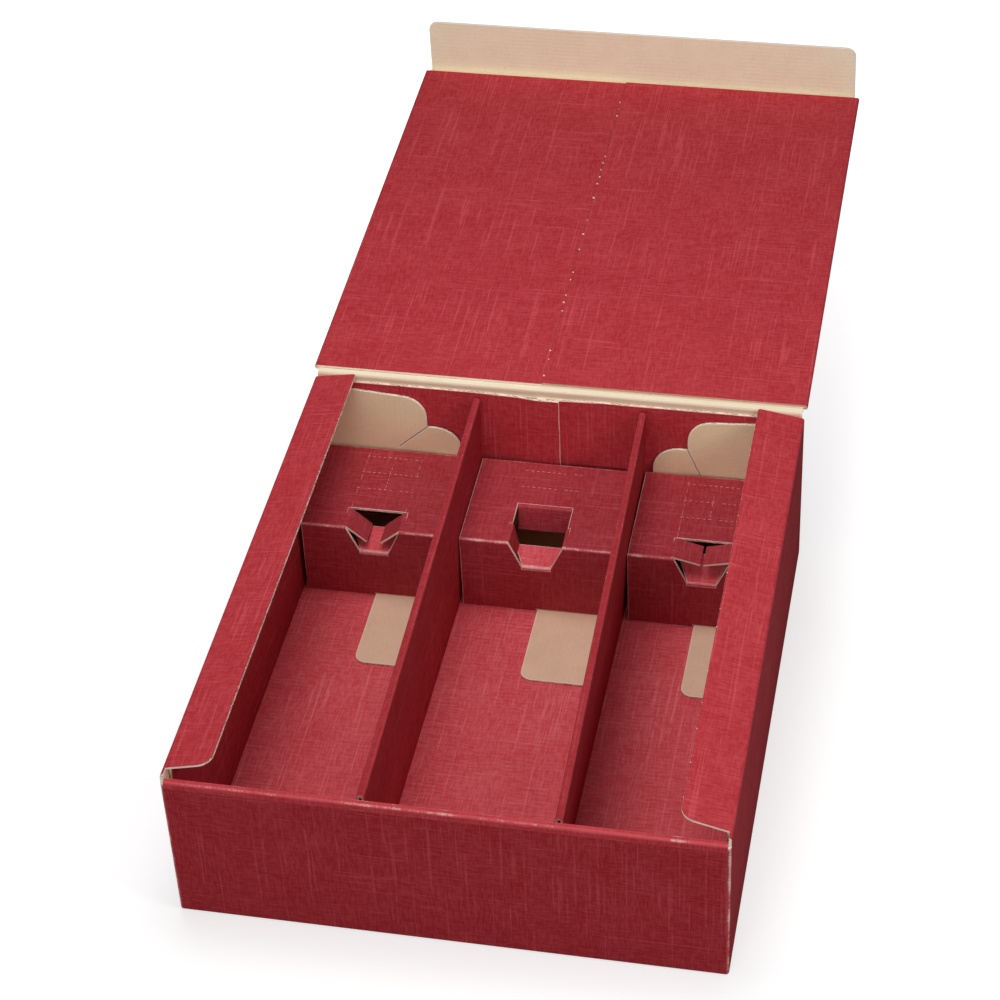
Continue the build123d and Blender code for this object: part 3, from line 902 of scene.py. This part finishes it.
def makeMarkTree():
    tree = bpy.data.node_groups.new("tornFibres", "GeometryNodeTree")
    sockets = {"Line": "Geometry", "Pitch": "Float", "Length": "Float", "Width": "Float",
               "Stray": "Float", "Keep": "Float", "Seed": "Int", "Material": "Material"}
    for label, kind in sockets.items():
        tree.interface.new_socket(label, in_out="INPUT", socket_type="NodeSocket" + kind)
    tree.interface.new_socket("Marks", in_out="OUTPUT", socket_type="NodeSocketGeometry")
    given = tree.nodes.new("NodeGroupInput").outputs
    seed = given["Seed"]
    curve = addNode(tree, "GeometryNodeMeshToCurve", {"Mesh": given["Line"]}).outputs[0]
    points = addNode(tree, "GeometryNodeCurveToPoints", {"Curve": curve, "Length": given["Pitch"]},
                     mode="LENGTH").outputs
    shift = addNode(tree, "FunctionNodeRandomValue", {0: (-1, -1, -1), 1: (1, 1, 1), "Seed": seed},
                    data_type="FLOAT_VECTOR")
    away = addNode(tree, "ShaderNodeVectorMath", {0: shift.outputs[0], "Scale": given["Stray"]},
                   operation="SCALE")
    moved = addNode(tree, "GeometryNodeSetPosition", {"Geometry": points["Points"],
                                                      "Offset": away.outputs[0]})
    kept = addNode(tree, "FunctionNodeRandomValue", {"Probability": given["Keep"], "Seed": seed},
                   data_type="BOOLEAN")
    turned = addNode(tree, "FunctionNodeAlignRotationToVector", {"Vector": points["Tangent"]},
                     axis="X")
    least, most = markStretch
    stretch = addNode(tree, "FunctionNodeRandomValue", {0: least, 1: most, "Seed": seed},
                      data_type="FLOAT_VECTOR")
    size = addNode(tree, "ShaderNodeCombineXYZ", {0: given["Length"], 1: given["Width"],
                                                  2: given["Width"]})
    size = addNode(tree, "ShaderNodeVectorMath", {0: size.outputs[0], 1: stretch.outputs[0]},
                   operation="MULTIPLY")
    bead = addNode(tree, "GeometryNodeMeshUVSphere", markBead)
    beads = addNode(tree, "GeometryNodeInstanceOnPoints", {
        "Points": moved.outputs[0], "Selection": kept.outputs[3], "Instance": bead.outputs[0],
        "Rotation": turned.outputs[0], "Scale": size.outputs[0]})
    real = addNode(tree, "GeometryNodeRealizeInstances", {"Geometry": beads.outputs[0]})
    dressed = addNode(tree, "GeometryNodeSetMaterial", {"Geometry": real.outputs[0],
                                                        "Material": given["Material"]})
    addNode(tree, "NodeGroupOutput", {"Marks": dressed.outputs[0]})
    return tree


def makeMarks(kind, tree):
    coords, edges = [], []
    for line in markLines[kind]:
        edges += [(len(coords) + k, len(coords) + k + 1) for k in range(len(line) - 1)]
        coords += line
    mesh = bpy.data.meshes.new(kind)
    mesh.from_pydata(coords, edges, [])
    piece = addObject(kind, mesh)
    modifier = piece.modifiers.new("marks", "NODES")
    modifier.node_group = tree
    onBridge = kind in ("perforations", "scores")
    values = dict(markKinds[kind], Material=scoredPrint if onBridge else tornFibre)
    for socket in tree.interface.items_tree:
        if socket.name in values:
            modifier[socket.identifier] = values[socket.name]
    seen = piece.evaluated_get(bpy.context.evaluated_depsgraph_get())
    piece.data = bpy.data.meshes.new_from_object(seen)
    piece.modifiers.clear()
    return piece


# Outer tray

tray = {
    "shoulderTop": 106.0 * mm,
    "frontTop": 100.5 * mm,
    "rimWidth": 4.2 * mm,
    "endSlope": 0.8 * mm,
    "shoulderWidths": {-1: 26.2 * mm, 1: 28.0 * mm},
    "frontDip": 1.8 * mm,  # the side walls run down a little to the front
    "backRise": 2.0 * mm,  # and up to the hinge
    "shoulderFront": -167.8 * mm,
    "shoulderCorner": 8.0 * mm,
    "shoulderBevel": 2.2 * mm,
    "shoulderGap": 0.3 * mm,  # from its ends to the front wall's fold and the back lining
    "lead": 1.0,  # straight path below the shoulder's crease, which places it on its sheet
    "spring": math.radians(10),  # how far the shoulder flaps spring up
    "pressFlat": 0.18,  # how much of that height is left under the shut lid
    "creaseReach": 3.0 * mm,  # half length of the strip that bends at a hinge
    "grid": 14.0 * mm,
    "nickStep": 20.0 * mm,
    "nickClear": 8.0 * mm,  # from the rounded corners
}
wallX, wallY = trayHigh.x - half, trayHigh.y - half  # centre of the walls
frontJoin = tray["frontTop"] - 5 * mm
sideJoin = tray["shoulderTop"] - board["bend"] - half
cornerTop = tray["frontTop"] - board["bend"] - half
backJoin = hingeAt.z - tray["creaseReach"]


def sideLift(y):
    share = (y + wallY) / (2 * wallY)
    return tray["backRise"] * share - tray["frontDip"] * (1 - share)


def makeShell():
    # The four walls as one ring, curling under to meet the bottom
    path = foldPath([(0, wallY), (-wallX, wallY), (-wallX, -wallY), (wallX, -wallY),
                     (wallX, wallY), (0, wallY)])
    curl = board["bend"] + half
    rows, folds = bendRows(path)
    perimeter = pathEnd(path)

    def place(s, t, depth):
        point, inward = alongPath(path, s)
        if t < curl:
            angle = min(1.0, (curl - t) / (board["bend"] * math.pi / 2)) * math.pi / 2
            reach = board["bend"] + depth
            inset = board["bend"] - reach * math.cos(angle)
            point = point + inward * inset
            return Vector((point.x, point.y, curl - reach * math.sin(angle)))
        point = point - inward * depth
        return Vector((point.x, point.y, t))

    bend = board["bend"] * math.pi / 2
    bottomLine = curl - bend
    backLeft = wallX - board["bend"]
    leftEnd = backLeft + bend + 2 * (wallY - board["bend"])
    frontStart = leftEnd + bend
    frontEnd = frontStart + 2 * (wallX - board["bend"])
    rightStart = frontEnd + bend
    rightEnd = rightStart + 2 * (wallY - board["bend"])
    backRight = rightEnd + bend
    outline = [
        (0, bottomLine), (perimeter, bottomLine), (perimeter, backJoin), (backRight, backJoin),
        (backRight, sideJoin + tray["backRise"]), (rightStart, sideJoin - tray["frontDip"]),
        (rightStart, cornerTop), (frontEnd, cornerTop), (frontEnd, frontJoin),
        (frontStart, frontJoin), (frontStart, cornerTop), (leftEnd, cornerTop),
        (leftEnd, sideJoin - tray["frontDip"]), (backLeft, sideJoin + tray["backRise"]),
        (backLeft, backJoin), (0, backJoin),
    ]
    columns = [bottomLine + (curl - bottomLine) * k / 5 for k in range(6)] + [curl + mm]
    # The walls get the darker copy of the print: painted shade
    return makeSheet("tray_shell", outline, place, rows=rows, columns=columns, folds=folds,
                     flush=lambda s, t: not cornerTop - mm < t < cornerTop + mm,
                     flutesAlongS=False, boards=shadedWallBoard)


def makeBottom():
    inset = board["bend"] + half
    x, y = trayHigh.x - inset, trayHigh.y - inset
    place = alongBoard(Vector((0, 0, half)), axisX, axisY, -axisZ)
    return makeSheet("tray_bottom", mirrored([(-x, -y), (x, -y)]), place, flush=lambda s, t: True)


def makeRim():
    # Front wall's top, rolled over into its inner layer
    innerY = trayLow.y + tray["rimWidth"] - half
    topZ = tray["frontTop"] - half
    path = foldPath([(-wallY, frontJoin), (-wallY, topZ), (innerY, topZ), (innerY, thick)])
    x, end = wallX - board["bend"], pathEnd(path)
    place = aroundPath(path, zero, axisY, axisZ, axisX)
    return makeFolded("front_rim", path, mirrored([(0, -x), (end, -x)]), place, worn=0.84,
                      flush=lambda s, t: s < mm)


def makeShoulder(side):
    # Side wall's top and the flap folded in from it, which springs up a little
    radius, spring = board["bend"], tray["spring"]
    top = tray["shoulderTop"] - half
    foldX = -wallX
    inner = -trayHigh.x + tray["shoulderWidths"][side]
    length = (inner - foldX) / math.cos(spring)
    tip = (foldX + length * math.cos(spring), top + length * math.sin(spring))
    path = foldPath([(foldX, sideJoin - tray["lead"]), (foldX, top), tip])
    start = stretchAt(path, 1)[0]
    arc = start - radius * (math.pi / 2 - spring)
    rows, folds = bendRows(path, steps=6)
    end = pathEnd(path)
    front = trayLow.y + thick
    flapFront, gap = tray["shoulderFront"], tray["shoulderGap"]
    outline = [
        (arc, front + tray["endSlope"]), (start + 0.2 * mm, front + tray["endSlope"] + 0.2 * mm),
        (start + gap, flapFront), (end, flapFront + tray["shoulderBevel"], tray["shoulderCorner"]),
        (end, wallY - half - gap, thick), (arc, wallY - board["bend"]),
    ]
    level = aroundPath(path, zero, axisX * -side, axisZ, axisY)

    def place(s, t, depth):
        return level(s, t, depth) + axisZ * sideLift(t)

    reach = tray["shoulderCorner"] + tray["nickClear"]
    nicked = spread(flapFront + reach, wallY - reach, tray["nickStep"])
    markLines["shoulder_nicks"].append([place(end, t, half * 0.8) for t in nicked])
    return makeSheet(sided("shoulder", side), outline, place, rows=rows + [arc + 0.04 * mm],
                     folds=folds, grid=tray["grid"], flush=lambda s, t: s < arc + gap,
                     sheetAt=(0.3 * side, 0.1), worn=0.5)


lining = {
    "top": 107.0 * mm,
    "lapTop": 106.1 * mm,  # where the left half steps over the right one
    "lapFall": 26.0 * mm,
    "seam": 2.0 * mm,
    "overlap": 14.0 * mm,
    "ramp": 12.0 * mm,
    "rampBend": 6.0 * mm,
}
ear = {
    "top": 103.8 * mm,
    "slope": 4.6 * mm,
    "reach": 70.5 * mm,
    "corner": 15.0 * mm,
    "lobeReach": 92.0 * mm,
    "lobeTop": 78.0 * mm,
    "lobeCorner": 16.0 * mm,
    "foot": 8.0 * mm,
    "slitWidth": 0.6 * mm,
    "slitLength": 26.0 * mm,
    "slitAngles": (math.radians(43), math.radians(68)),
    "lean": 1.1 * mm,  # how far the free ends stand forward
    "grid": 9.0 * mm,
    "nickStep": 8.0 * mm,
    "nickFrom": 22.0 * mm,
    "nickClear": 1.3,  # from the round corner, in its radii
}


def makeLining():
    # Two halves behind the ears, the left one stepping over the right one
    back = trayHigh.y - thick - half
    low, top = thick, lining["top"]
    edge = trayHigh.x - thick
    under = lining["seam"] - lining["overlap"]
    left = foldPath([(-edge, back), (under - lining["ramp"], back),
                     (under - 0.3 * mm, back - thick), (lining["seam"], back - thick)],
                    lining["rampBend"])
    rows, folds = bendRows(left, steps=3, reach=())
    end = pathEnd(left)
    place = aroundPath(left, zero, axisX, axisY, axisZ, side=-1)
    lap = end - lining["overlap"] - lining["ramp"]
    outline = [(0, low), (end, low), (end, lining["lapTop"]), (lap, lining["lapTop"]),
               (lap - lining["lapFall"], top), (0, top)]
    first = makeSheet("lining_left", outline, place, rows=rows, sheetAt=(0.7, 0.2),
                      flutesAlongS=False)
    place = alongBoard(Vector((under, back, 0)), axisX, axisZ, -axisY)
    width = edge - under
    rise, hidden = lining["overlap"] + lining["lapFall"], lining["lapTop"] - 0.1 * mm
    outline = [(0, low), (width, low), (width, top), (rise, top), (lining["overlap"], hidden),
               (0, hidden)]
    second = makeSheet("lining_right", outline, place, sheetAt=(0.9, 0.2), flutesAlongS=False)
    return [first, second]


def makeEar(side):
    # Two round lobes with a slanting slit between them, kraft side to the front
    angle = ear["slitAngles"][0 if side < 0 else 1]
    reach, lobeTop, width = ear["reach"], ear["lobeTop"], ear["slitWidth"] / 2
    way = Vector((-math.cos(angle), -math.sin(angle))) * ear["slitLength"]
    aside = Vector((-math.sin(angle), math.cos(angle))) * width
    corner = Vector((reach, lobeTop))
    outline = [
        (thick, ear["foot"]), (thick, ear["top"]),
        (reach, ear["top"] - ear["slope"], ear["corner"]),
        (reach, lobeTop + width / math.cos(angle)),
        tuple(corner + way + aside), tuple(corner + way - aside),
        (reach + width / math.sin(angle), lobeTop),
        (ear["lobeReach"], lobeTop, ear["lobeCorner"]), (ear["lobeReach"], ear["foot"]),
    ]
    y = trayHigh.y - 2 * thick - half

    def place(s, t, depth):
        lean = ear["lean"] * (s / ear["lobeReach"]) ** 2
        return Vector((side * (trayHigh.x - s), y - lean + depth, t))

    fall = ear["slope"] / (reach - thick)
    nicked = spread(ear["nickFrom"], reach - ear["corner"] * ear["nickClear"], ear["nickStep"])
    markLines["ear_nicks"].append([place(s, ear["top"] - fall * (s - thick), -half * 0.6)
                                   for s in nicked])
    return makeSheet(sided("ear", side), outline, place, grid=ear["grid"],
                     sheetAt=(0.4 * side, 0.5), flutesAlongS=False, boards=earBoard)


def pressUnderLid(piece):
    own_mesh(piece)


def makeTray():
    redPieces = [makeShell(), makeBottom(), makeRim(), makeShoulder(-1), makeShoulder(1)]
    redPieces += makeLining()
    ears = [makeEar(-1), makeEar(1)]
    for piece in redPieces + ears:
        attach(piece, "tray")
        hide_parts("outer_tray")
    for piece in redPieces[3:5]:
        pressUnderLid(piece)


print("stage: outer tray")
makeTray()


# Insert

insert = {
    "wallTop": 102.0 * mm,
    "foot": 51.0 * mm,  # divider's foot from the middle
    "footWidth": 3.6 * mm,
    "topWidth": 4.6 * mm,
    "backTop": 105.8 * mm,
    "frontTop": 95.5 * mm,
    "leans": ((2.2 * mm, 5.0 * mm), (3.5 * mm, 10.0 * mm)),  # left and right, back and front
    "wallFront": -164.2 * mm,
    "grid": 16.0 * mm,
}
floorTop = 2 * thick


def makeInsert():
    # Floor, two leaning pleats and the inner side walls, one sheet folded across
    edge = insertHigh.x - half
    footGap = insert["footWidth"] / 2 - half
    topGap = insert["topWidth"] / 2 - half
    front, floorFront, back = insert["wallFront"], insertLow.y, insertHigh.y
    known = {}

    def pathAt(y):
        key = round(y * 1e6)
        if key not in known:
            share = (back - y) / (back - front)
            top = insert["backTop"] + (insert["frontTop"] - insert["backTop"]) * share
            corners = [(-edge, insert["wallTop"]), (-edge, floorTop - half)]
            radii = [board["bend"]]
            for foot, lean in zip((-insert["foot"], insert["foot"]), insert["leans"]):
                tip = foot + lean[0] + (lean[1] - lean[0]) * share
                corners += [(foot - footGap, floorTop - half), (tip - topGap, top - half),
                            (tip + topGap, top - half), (foot + footGap, floorTop - half)]
                radii += [board["bend"], topGap * 0.96, topGap * 0.96, board["bend"]]
            corners += [(edge, floorTop - half), (edge, insert["wallTop"])]
            radii.append(board["bend"])
            known[key] = foldPath(corners, radii)
        return known[key]

    middle = pathAt((back + front) / 2)

    def place(s, t, depth):
        index, share = findStretch(middle, s)
        point, out = onStretch(pathAt(t)[index], share)
        point = point + out * depth
        return Vector((point.x, t, point.y))

    rows, folds = bendRows(middle, steps=4)
    end = pathEnd(middle)
    floors = [stretchAt(middle, index) for index in (1, 5, 9)]
    outline = [(0, front)]
    for start, length in floors:
        outline += [(start, front), (start, floorFront), (start + length, floorFront),
                    (start + length, front)]
    outline += [(end, front), (end, back), (0, back)]
    # The floors get the lighter copy of the print: painted light
    return makeSheet("insert_sheet", outline, place, rows=rows, folds=folds,
                     columns=spread(front, back, insert["grid"]), sheetAt=(0.15, 0.35),
                     boards=insertBoard, worn=0.7,
                     light=lambda s: any(a < s < a + length for a, length in floors))


print("stage: insert")
piece = makeInsert()
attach(piece, "tray")
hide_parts("insert")


# Neck bridges

bridge = {
    "depth": 76.2 * mm,
    "tabLength": 62.0 * mm,
    "tabWidth": 49.0 * mm,
    "tabCorner": 7.0 * mm,
    "collarWidth": 34.0 * mm,
    "collarLength": 18.5 * mm,
    "step": 16.5 * mm,  # next panel, pushed in at the middle collar
    "stepFold": math.radians(80),
    "drop": 18.5 * mm,
    "foot": 17.6 * mm,
    "cut": 0.4 * mm,
    "crease": 1.5 * mm,  # flat stretch beside a flap's crease
    "sideBend": 1.2 * mm,  # the side flaps bend more softly than the others
    "clear": 0.3 * mm,
    "perforations": (37.3 * mm, 52.4 * mm, 67.5 * mm),  # cross lines, from the front
    "linePoints": 5.0 * mm,  # between the points of a perforated line
}
collars = {
    "left": {"middle": -101.2 * mm, "sides": 41, "front": 72, "step": 0, "rise": 2.2 * mm},
    "centre": {"middle": 0.0, "sides": 80, "front": 86, "step": bridge["step"],
               "rise": 2.2 * mm},
    "right": {"middle": 101.2 * mm, "sides": 14, "front": 50, "step": 0, "rise": 3.4 * mm},
}


def makeBridge(name, collar):
    low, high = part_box("neck_bridge_" + name)
    top, back = high.z, high.y
    front = back - bridge["depth"]
    middle, width, foot = collar["middle"], bridge["collarWidth"] / 2, bridge["foot"] / 2
    crease, cut = bridge["crease"], bridge["cut"]
    footZ = floorTop + thick + bridge["clear"]
    slope = collar["rise"] / (back - front)
    path = foldPath([(front + half, footZ), (front + half, top - half),
                     (back - half, top - half + collar["rise"]), (back - half, floorTop + half),
                     (front - bridge["tabLength"], floorTop + half)])
    topStart, underStart = stretchAt(path, 1)[0], stretchAt(path, 3)[0]
    end = pathEnd(path)
    inset = half + board["bend"]
    tabFrom = underStart + (back - inset) - (front + thick + bridge["clear"])
    toFloor = thick + bridge["clear"] / 2  # the front panel reaches the floor beside the tab
    opening = bridge["collarLength"] + collar["step"]
    notch = top - bridge["drop"]
    flapFrom = front + thick
    flapDepth = bridge["collarLength"] - thick - cut

    def onTop(y):
        return topStart + y - (front + inset)

    flapStart, flapStop = onTop(flapFrom), onTop(flapFrom + flapDepth)
    stop = onTop(front + opening) + (crease if collar["step"] else 0)
    halfHole = [
        (notch - footZ - crease, foot), (notch - footZ, foot), (topStart, width),
        (flapStart, width), (flapStart, width + crease), (flapStop, width + crease),
        (flapStop, width), (stop, width),
    ]
    hole = [(s, middle + t) for s, t in halfHole] + [(s, middle - t) for s, t in halfHole[::-1]]
    tabX = high.x - bridge["tabWidth"]
    outline = [(-toFloor, low.x), (tabFrom, low.x), (tabFrom, tabX),
               (end, tabX, bridge["tabCorner"]), (end, high.x), (0, high.x), (0, tabX - cut),
               (-toFloor, tabX - cut)]
    place = aroundPath(path, zero, axisY, axisZ, axisX)

    def besideFlap(s, t):
        aside = abs(t - middle)
        return width + crease * 0.6 < aside < width + 2 * crease and flapStart < s < flapStop

    # The bridge, its side flaps and its back flap get the darker copy of the print: painted shade
    parts = [makeFolded("bridge_" + name, path, outline, place, holes=[hole], flush=besideFlap,
                        sheetAt=(0.1, 1.3 + middle), boards=shadedBridgeBoard)]

    def onSkin(y, x):
        return place(onTop(front + y), middle + x, half)

    def addFlap(word, flap, corners, placed, **settings):
        parts.append(makeFolded("collar_" + name + "_" + word, flap, corners, placed,
                                flush=lambda s, t: s < crease / 2, **settings))

    lines, markStep = bridge["perforations"][1 if collar["step"] else 0:], bridge["linePoints"]
    for y in lines:
        markLines["perforations"].append([onSkin(y, x) for x in spread(-width, width, markStep)])
    if not collar["step"]:
        panel = spread(lines[0], lines[-1], markStep)
        markLines["perforations"].append([onSkin(y, 0) for y in panel])
        scored = spread(opening + 2 * mm, lines[-1], markStep)
        markLines["scores"] += [[onSkin(y, x) for y in scored] for x in (-width, width)]
    fall, reach = math.radians(collar["sides"]), width - cut
    for side, word in ((-1, "left"), (1, "right")):
        tip = (reach * math.cos(fall), -reach * math.sin(fall))
        flap = foldPath([(-crease, 0), (0, 0), tip], bridge["sideBend"])
        end = pathEnd(flap)
        origin = Vector((middle + side * width, 0, top - half - slope * front))
        outline = [(0, flapFrom), (end, flapFrom + cut / 2), (end, flapFrom + flapDepth - cut / 2),
                   (0, flapFrom + flapDepth)]
        place = aroundPath(flap, origin, axisX * -side, axisZ, axisY + axisZ * slope)
        addFlap(word, flap, outline, place, worn=0.6, sheetAt=(0.05, 1.2 + middle),
                boards=shadedBridgeBoard)
    if collar["step"]:
        fall, length = bridge["stepFold"], collar["step"] - cut
        flap = foldPath([(-crease, 0), (0, 0), (length * math.cos(fall), -length * math.sin(fall))])
        end = pathEnd(flap)
        origin = Vector((middle, front + opening, top - half + slope * opening))
        outline = mirrored([(0, -width), (crease, -reach), (end, -reach)])
        place = aroundPath(flap, origin, -axisY, axisZ, axisX)
        addFlap("back", flap, outline, place, worn=0.6, boards=shadedBridgeBoard)
    lean, length = math.radians(collar["front"]), bridge["drop"] - cut
    bendAt = (front + half, notch)
    tip = (bendAt[0] + length * math.sin(lean), bendAt[1] + length * math.cos(lean))
    flap = foldPath([(bendAt[0], notch - crease), bendAt, tip])
    end = pathEnd(flap)
    outline = mirrored([(0, -foot), (crease, -foot), (end, -reach)])
    place = aroundPath(flap, Vector((middle, 0, 0)), axisY, axisZ, axisX)
    # The front flap gets the lighter copy of the print: painted light
    addFlap("front", flap, outline, place, sheetAt=(0.02, 1.1 + middle), boards=innerBoard)
    for piece in parts:
        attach(piece, "tray")
        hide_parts("neck_bridge_" + name)


print("stage: neck bridges")
for name, collar in collars.items():
    makeBridge(name, collar)


# Lid and tuck flap

lid = {
    "half": 150.9 * mm,  # half width of the board at its creases
    "outer": 153.8 * mm,  # half width over the folded sides
    "join": 148.0 * mm,
    "seam": -9.8 * mm,
    "seamGap": 0.16 * mm,
    "liningStart": 4.4 * mm,
    "liningStop": 5.4 * mm,
    "liningStep": 1.2 * mm,  # the left half lies this much nearer the hinge
}
tuck = {
    "half": 150.3 * mm,
    "length": 42.0 * mm,
    "taper": 0.5 * mm,
    "corner": 7.0 * mm,
}


def liningSpan(side):
    nearer = lid["liningStep"] if side < 0 else 0
    return lid["liningStart"] - nearer, lidLength - lid["liningStop"] - nearer


def makeLidBoard():
    place = alongBoard(hingeAt + lidIn * half, lidOut, axisX, -lidIn)
    reach, wide, join = tray["creaseReach"], lid["half"], lid["join"]
    leftStart, leftStop = liningSpan(-1)
    rightStart, rightStop = liningSpan(1)
    outline = [
        (reach, -wide), (leftStart, -wide), (leftStart, -join), (leftStop, -join),
        (leftStop, -wide), (lidLength - reach, -wide), (lidLength - reach, wide),
        (rightStop, wide), (rightStop, join), (rightStart, join), (rightStart, wide), (reach, wide),
    ]

    def flush(s, t):
        return s < reach + mm or s > lidLength - reach - mm or abs(abs(t) - join) < mm

    # Painted shade on the kraft under the linings' ends, near the hinge and at the far end
    low, high = rightStart + 0.2 * mm, leftStop - 0.6 * mm
    rows = [low - 0.4 * mm, low, high, high + 0.4 * mm]
    return makeSheet("lid_board", outline, place, flush=flush, sheetAt=(0.2, 2.0), rows=rows,
                     flutesAlongS=False, pressed=[(0, low, 0.9), (high, lidLength + mm, 0.6)])


def makeLidLining(side):
    start, stop = liningSpan(side)
    seam = side * lid["seam"] + lid["seamGap"] / 2
    upper, edge = thick + board["slit"] + half, lid["outer"] - half
    path = foldPath([(seam, upper), (edge, upper), (edge, half), (lid["join"], half)])
    end = pathEnd(path)
    place = aroundPath(path, hingeAt, axisX * side, lidIn, lidOut)
    outline = [(0, start), (end, start), (end, stop), (0, stop)]
    if side < 0:
        markLines["seam_specks"].append([place(0, t, half) for t in spread(start, stop, 20 * mm)])
    # The right half's cut edges get the darker copy: painted shade
    return makeFolded(sided("lid_lining", side), path, outline, place, worn=0.4,
                      flush=lambda s, t: s > end - mm or s < mm, sheetAt=(0.6 + side * 0.3, 2.4),
                      boards=outerBoard if side < 0 else shadedEdgeBoard)


def makeTuckFlap():
    place = alongBoard(tuckAt + tuckIn * half, tuckOut, axisX, -tuckIn)
    reach, end, wide = tray["creaseReach"], tuck["length"], tuck["half"]
    outline = mirrored([(reach, -wide), (end, tuck["taper"] - wide, tuck["corner"])])
    return makeSheet("tuck_flap_sheet", outline, place, flush=lambda s, t: s < reach + mm,
                     sheetAt=(0.0, 3.0), flutesAlongS=False)


creaseRows = {"steps": 6, "reach": (0.4 * mm, 1.2 * mm, 2.2 * mm)}


def makeCrease(name, path, wide, origin, axes, worn, pressed):
    # Strip of board folded at a crease between two bodies; a function of start, stop and end gives
    # its pressed bands, which carry painted shade
    rows, folds = bendRows(path, **creaseRows)
    end = pathEnd(path)
    place = aroundPath(path, origin, *axes, side=-1)
    return makeSheet(name, mirrored([(0, -wide), (end, -wide)]), place, rows=rows, folds=folds,
                     flush=lambda s, t: s < mm or s > end - mm, flutesAlongS=False, worn=worn,
                     pressed=pressed(*folds[0], end))


def makeLidCrease():
    reach = tray["creaseReach"]
    share = (wallY - hingeAt.y - lidIn.y * half) / lidOut.y
    corner = hingeAt + lidOut * share + lidIn * half
    far = hingeAt + lidOut * reach + lidIn * half
    path = foldPath([(wallY, hingeAt.z - reach), (corner.y, corner.z), (far.y, far.z)])
    # Painted shade on the strip's kraft: full down the wall and over the bend, lighter on the rest
    strip = makeCrease("lid_crease", path, lid["half"], zero, (axisY, axisZ, axisX), 0.8,
                       lambda start, stop, end: [(-mm, stop - 0.2 * mm, 1.0),
                                                 (-mm, end + mm, 0.38)])
    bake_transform(strip)
    return strip


def makeTuckCrease():
    reach = tray["creaseReach"]
    cosine, sine = math.cos(tuckTurn), math.sin(tuckTurn)
    along = half * (1 - cosine) / sine
    corner = Vector((-sine * half + cosine * along, half))
    far = Vector((cosine * reach - sine * half, sine * reach + cosine * half))
    path = foldPath([(-reach, half), corner, far])
    # Painted shade on the strip's kraft, up to the middle of the bend
    strip = makeCrease("tuck_crease", path, tuck["half"], tuckAt, (lidOut, lidIn, axisX), 0.35,
                       lambda start, stop, end: [(-mm, (start + stop) / 2, 0.6)])
    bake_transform(strip)
    return strip


print("stage: lid and tuck flap")
for piece in (makeLidBoard(), makeLidLining(-1), makeLidLining(1)):
    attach(piece, "lid")
    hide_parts("lid")
piece = makeTuckFlap()
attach(piece, "tuck_flap")
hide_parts("tuck_flap")
for piece in (makeLidCrease(), makeTuckCrease()):
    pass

print("stage: perforations, nicks and specks")
markTree = makeMarkTree()
for kind in markKinds:
    piece = makeMarks(kind, markTree)
    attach(piece, "lid" if kind == "seam_specks" else "tray")
    if kind == "shoulder_nicks":
        pressUnderLid(piece)
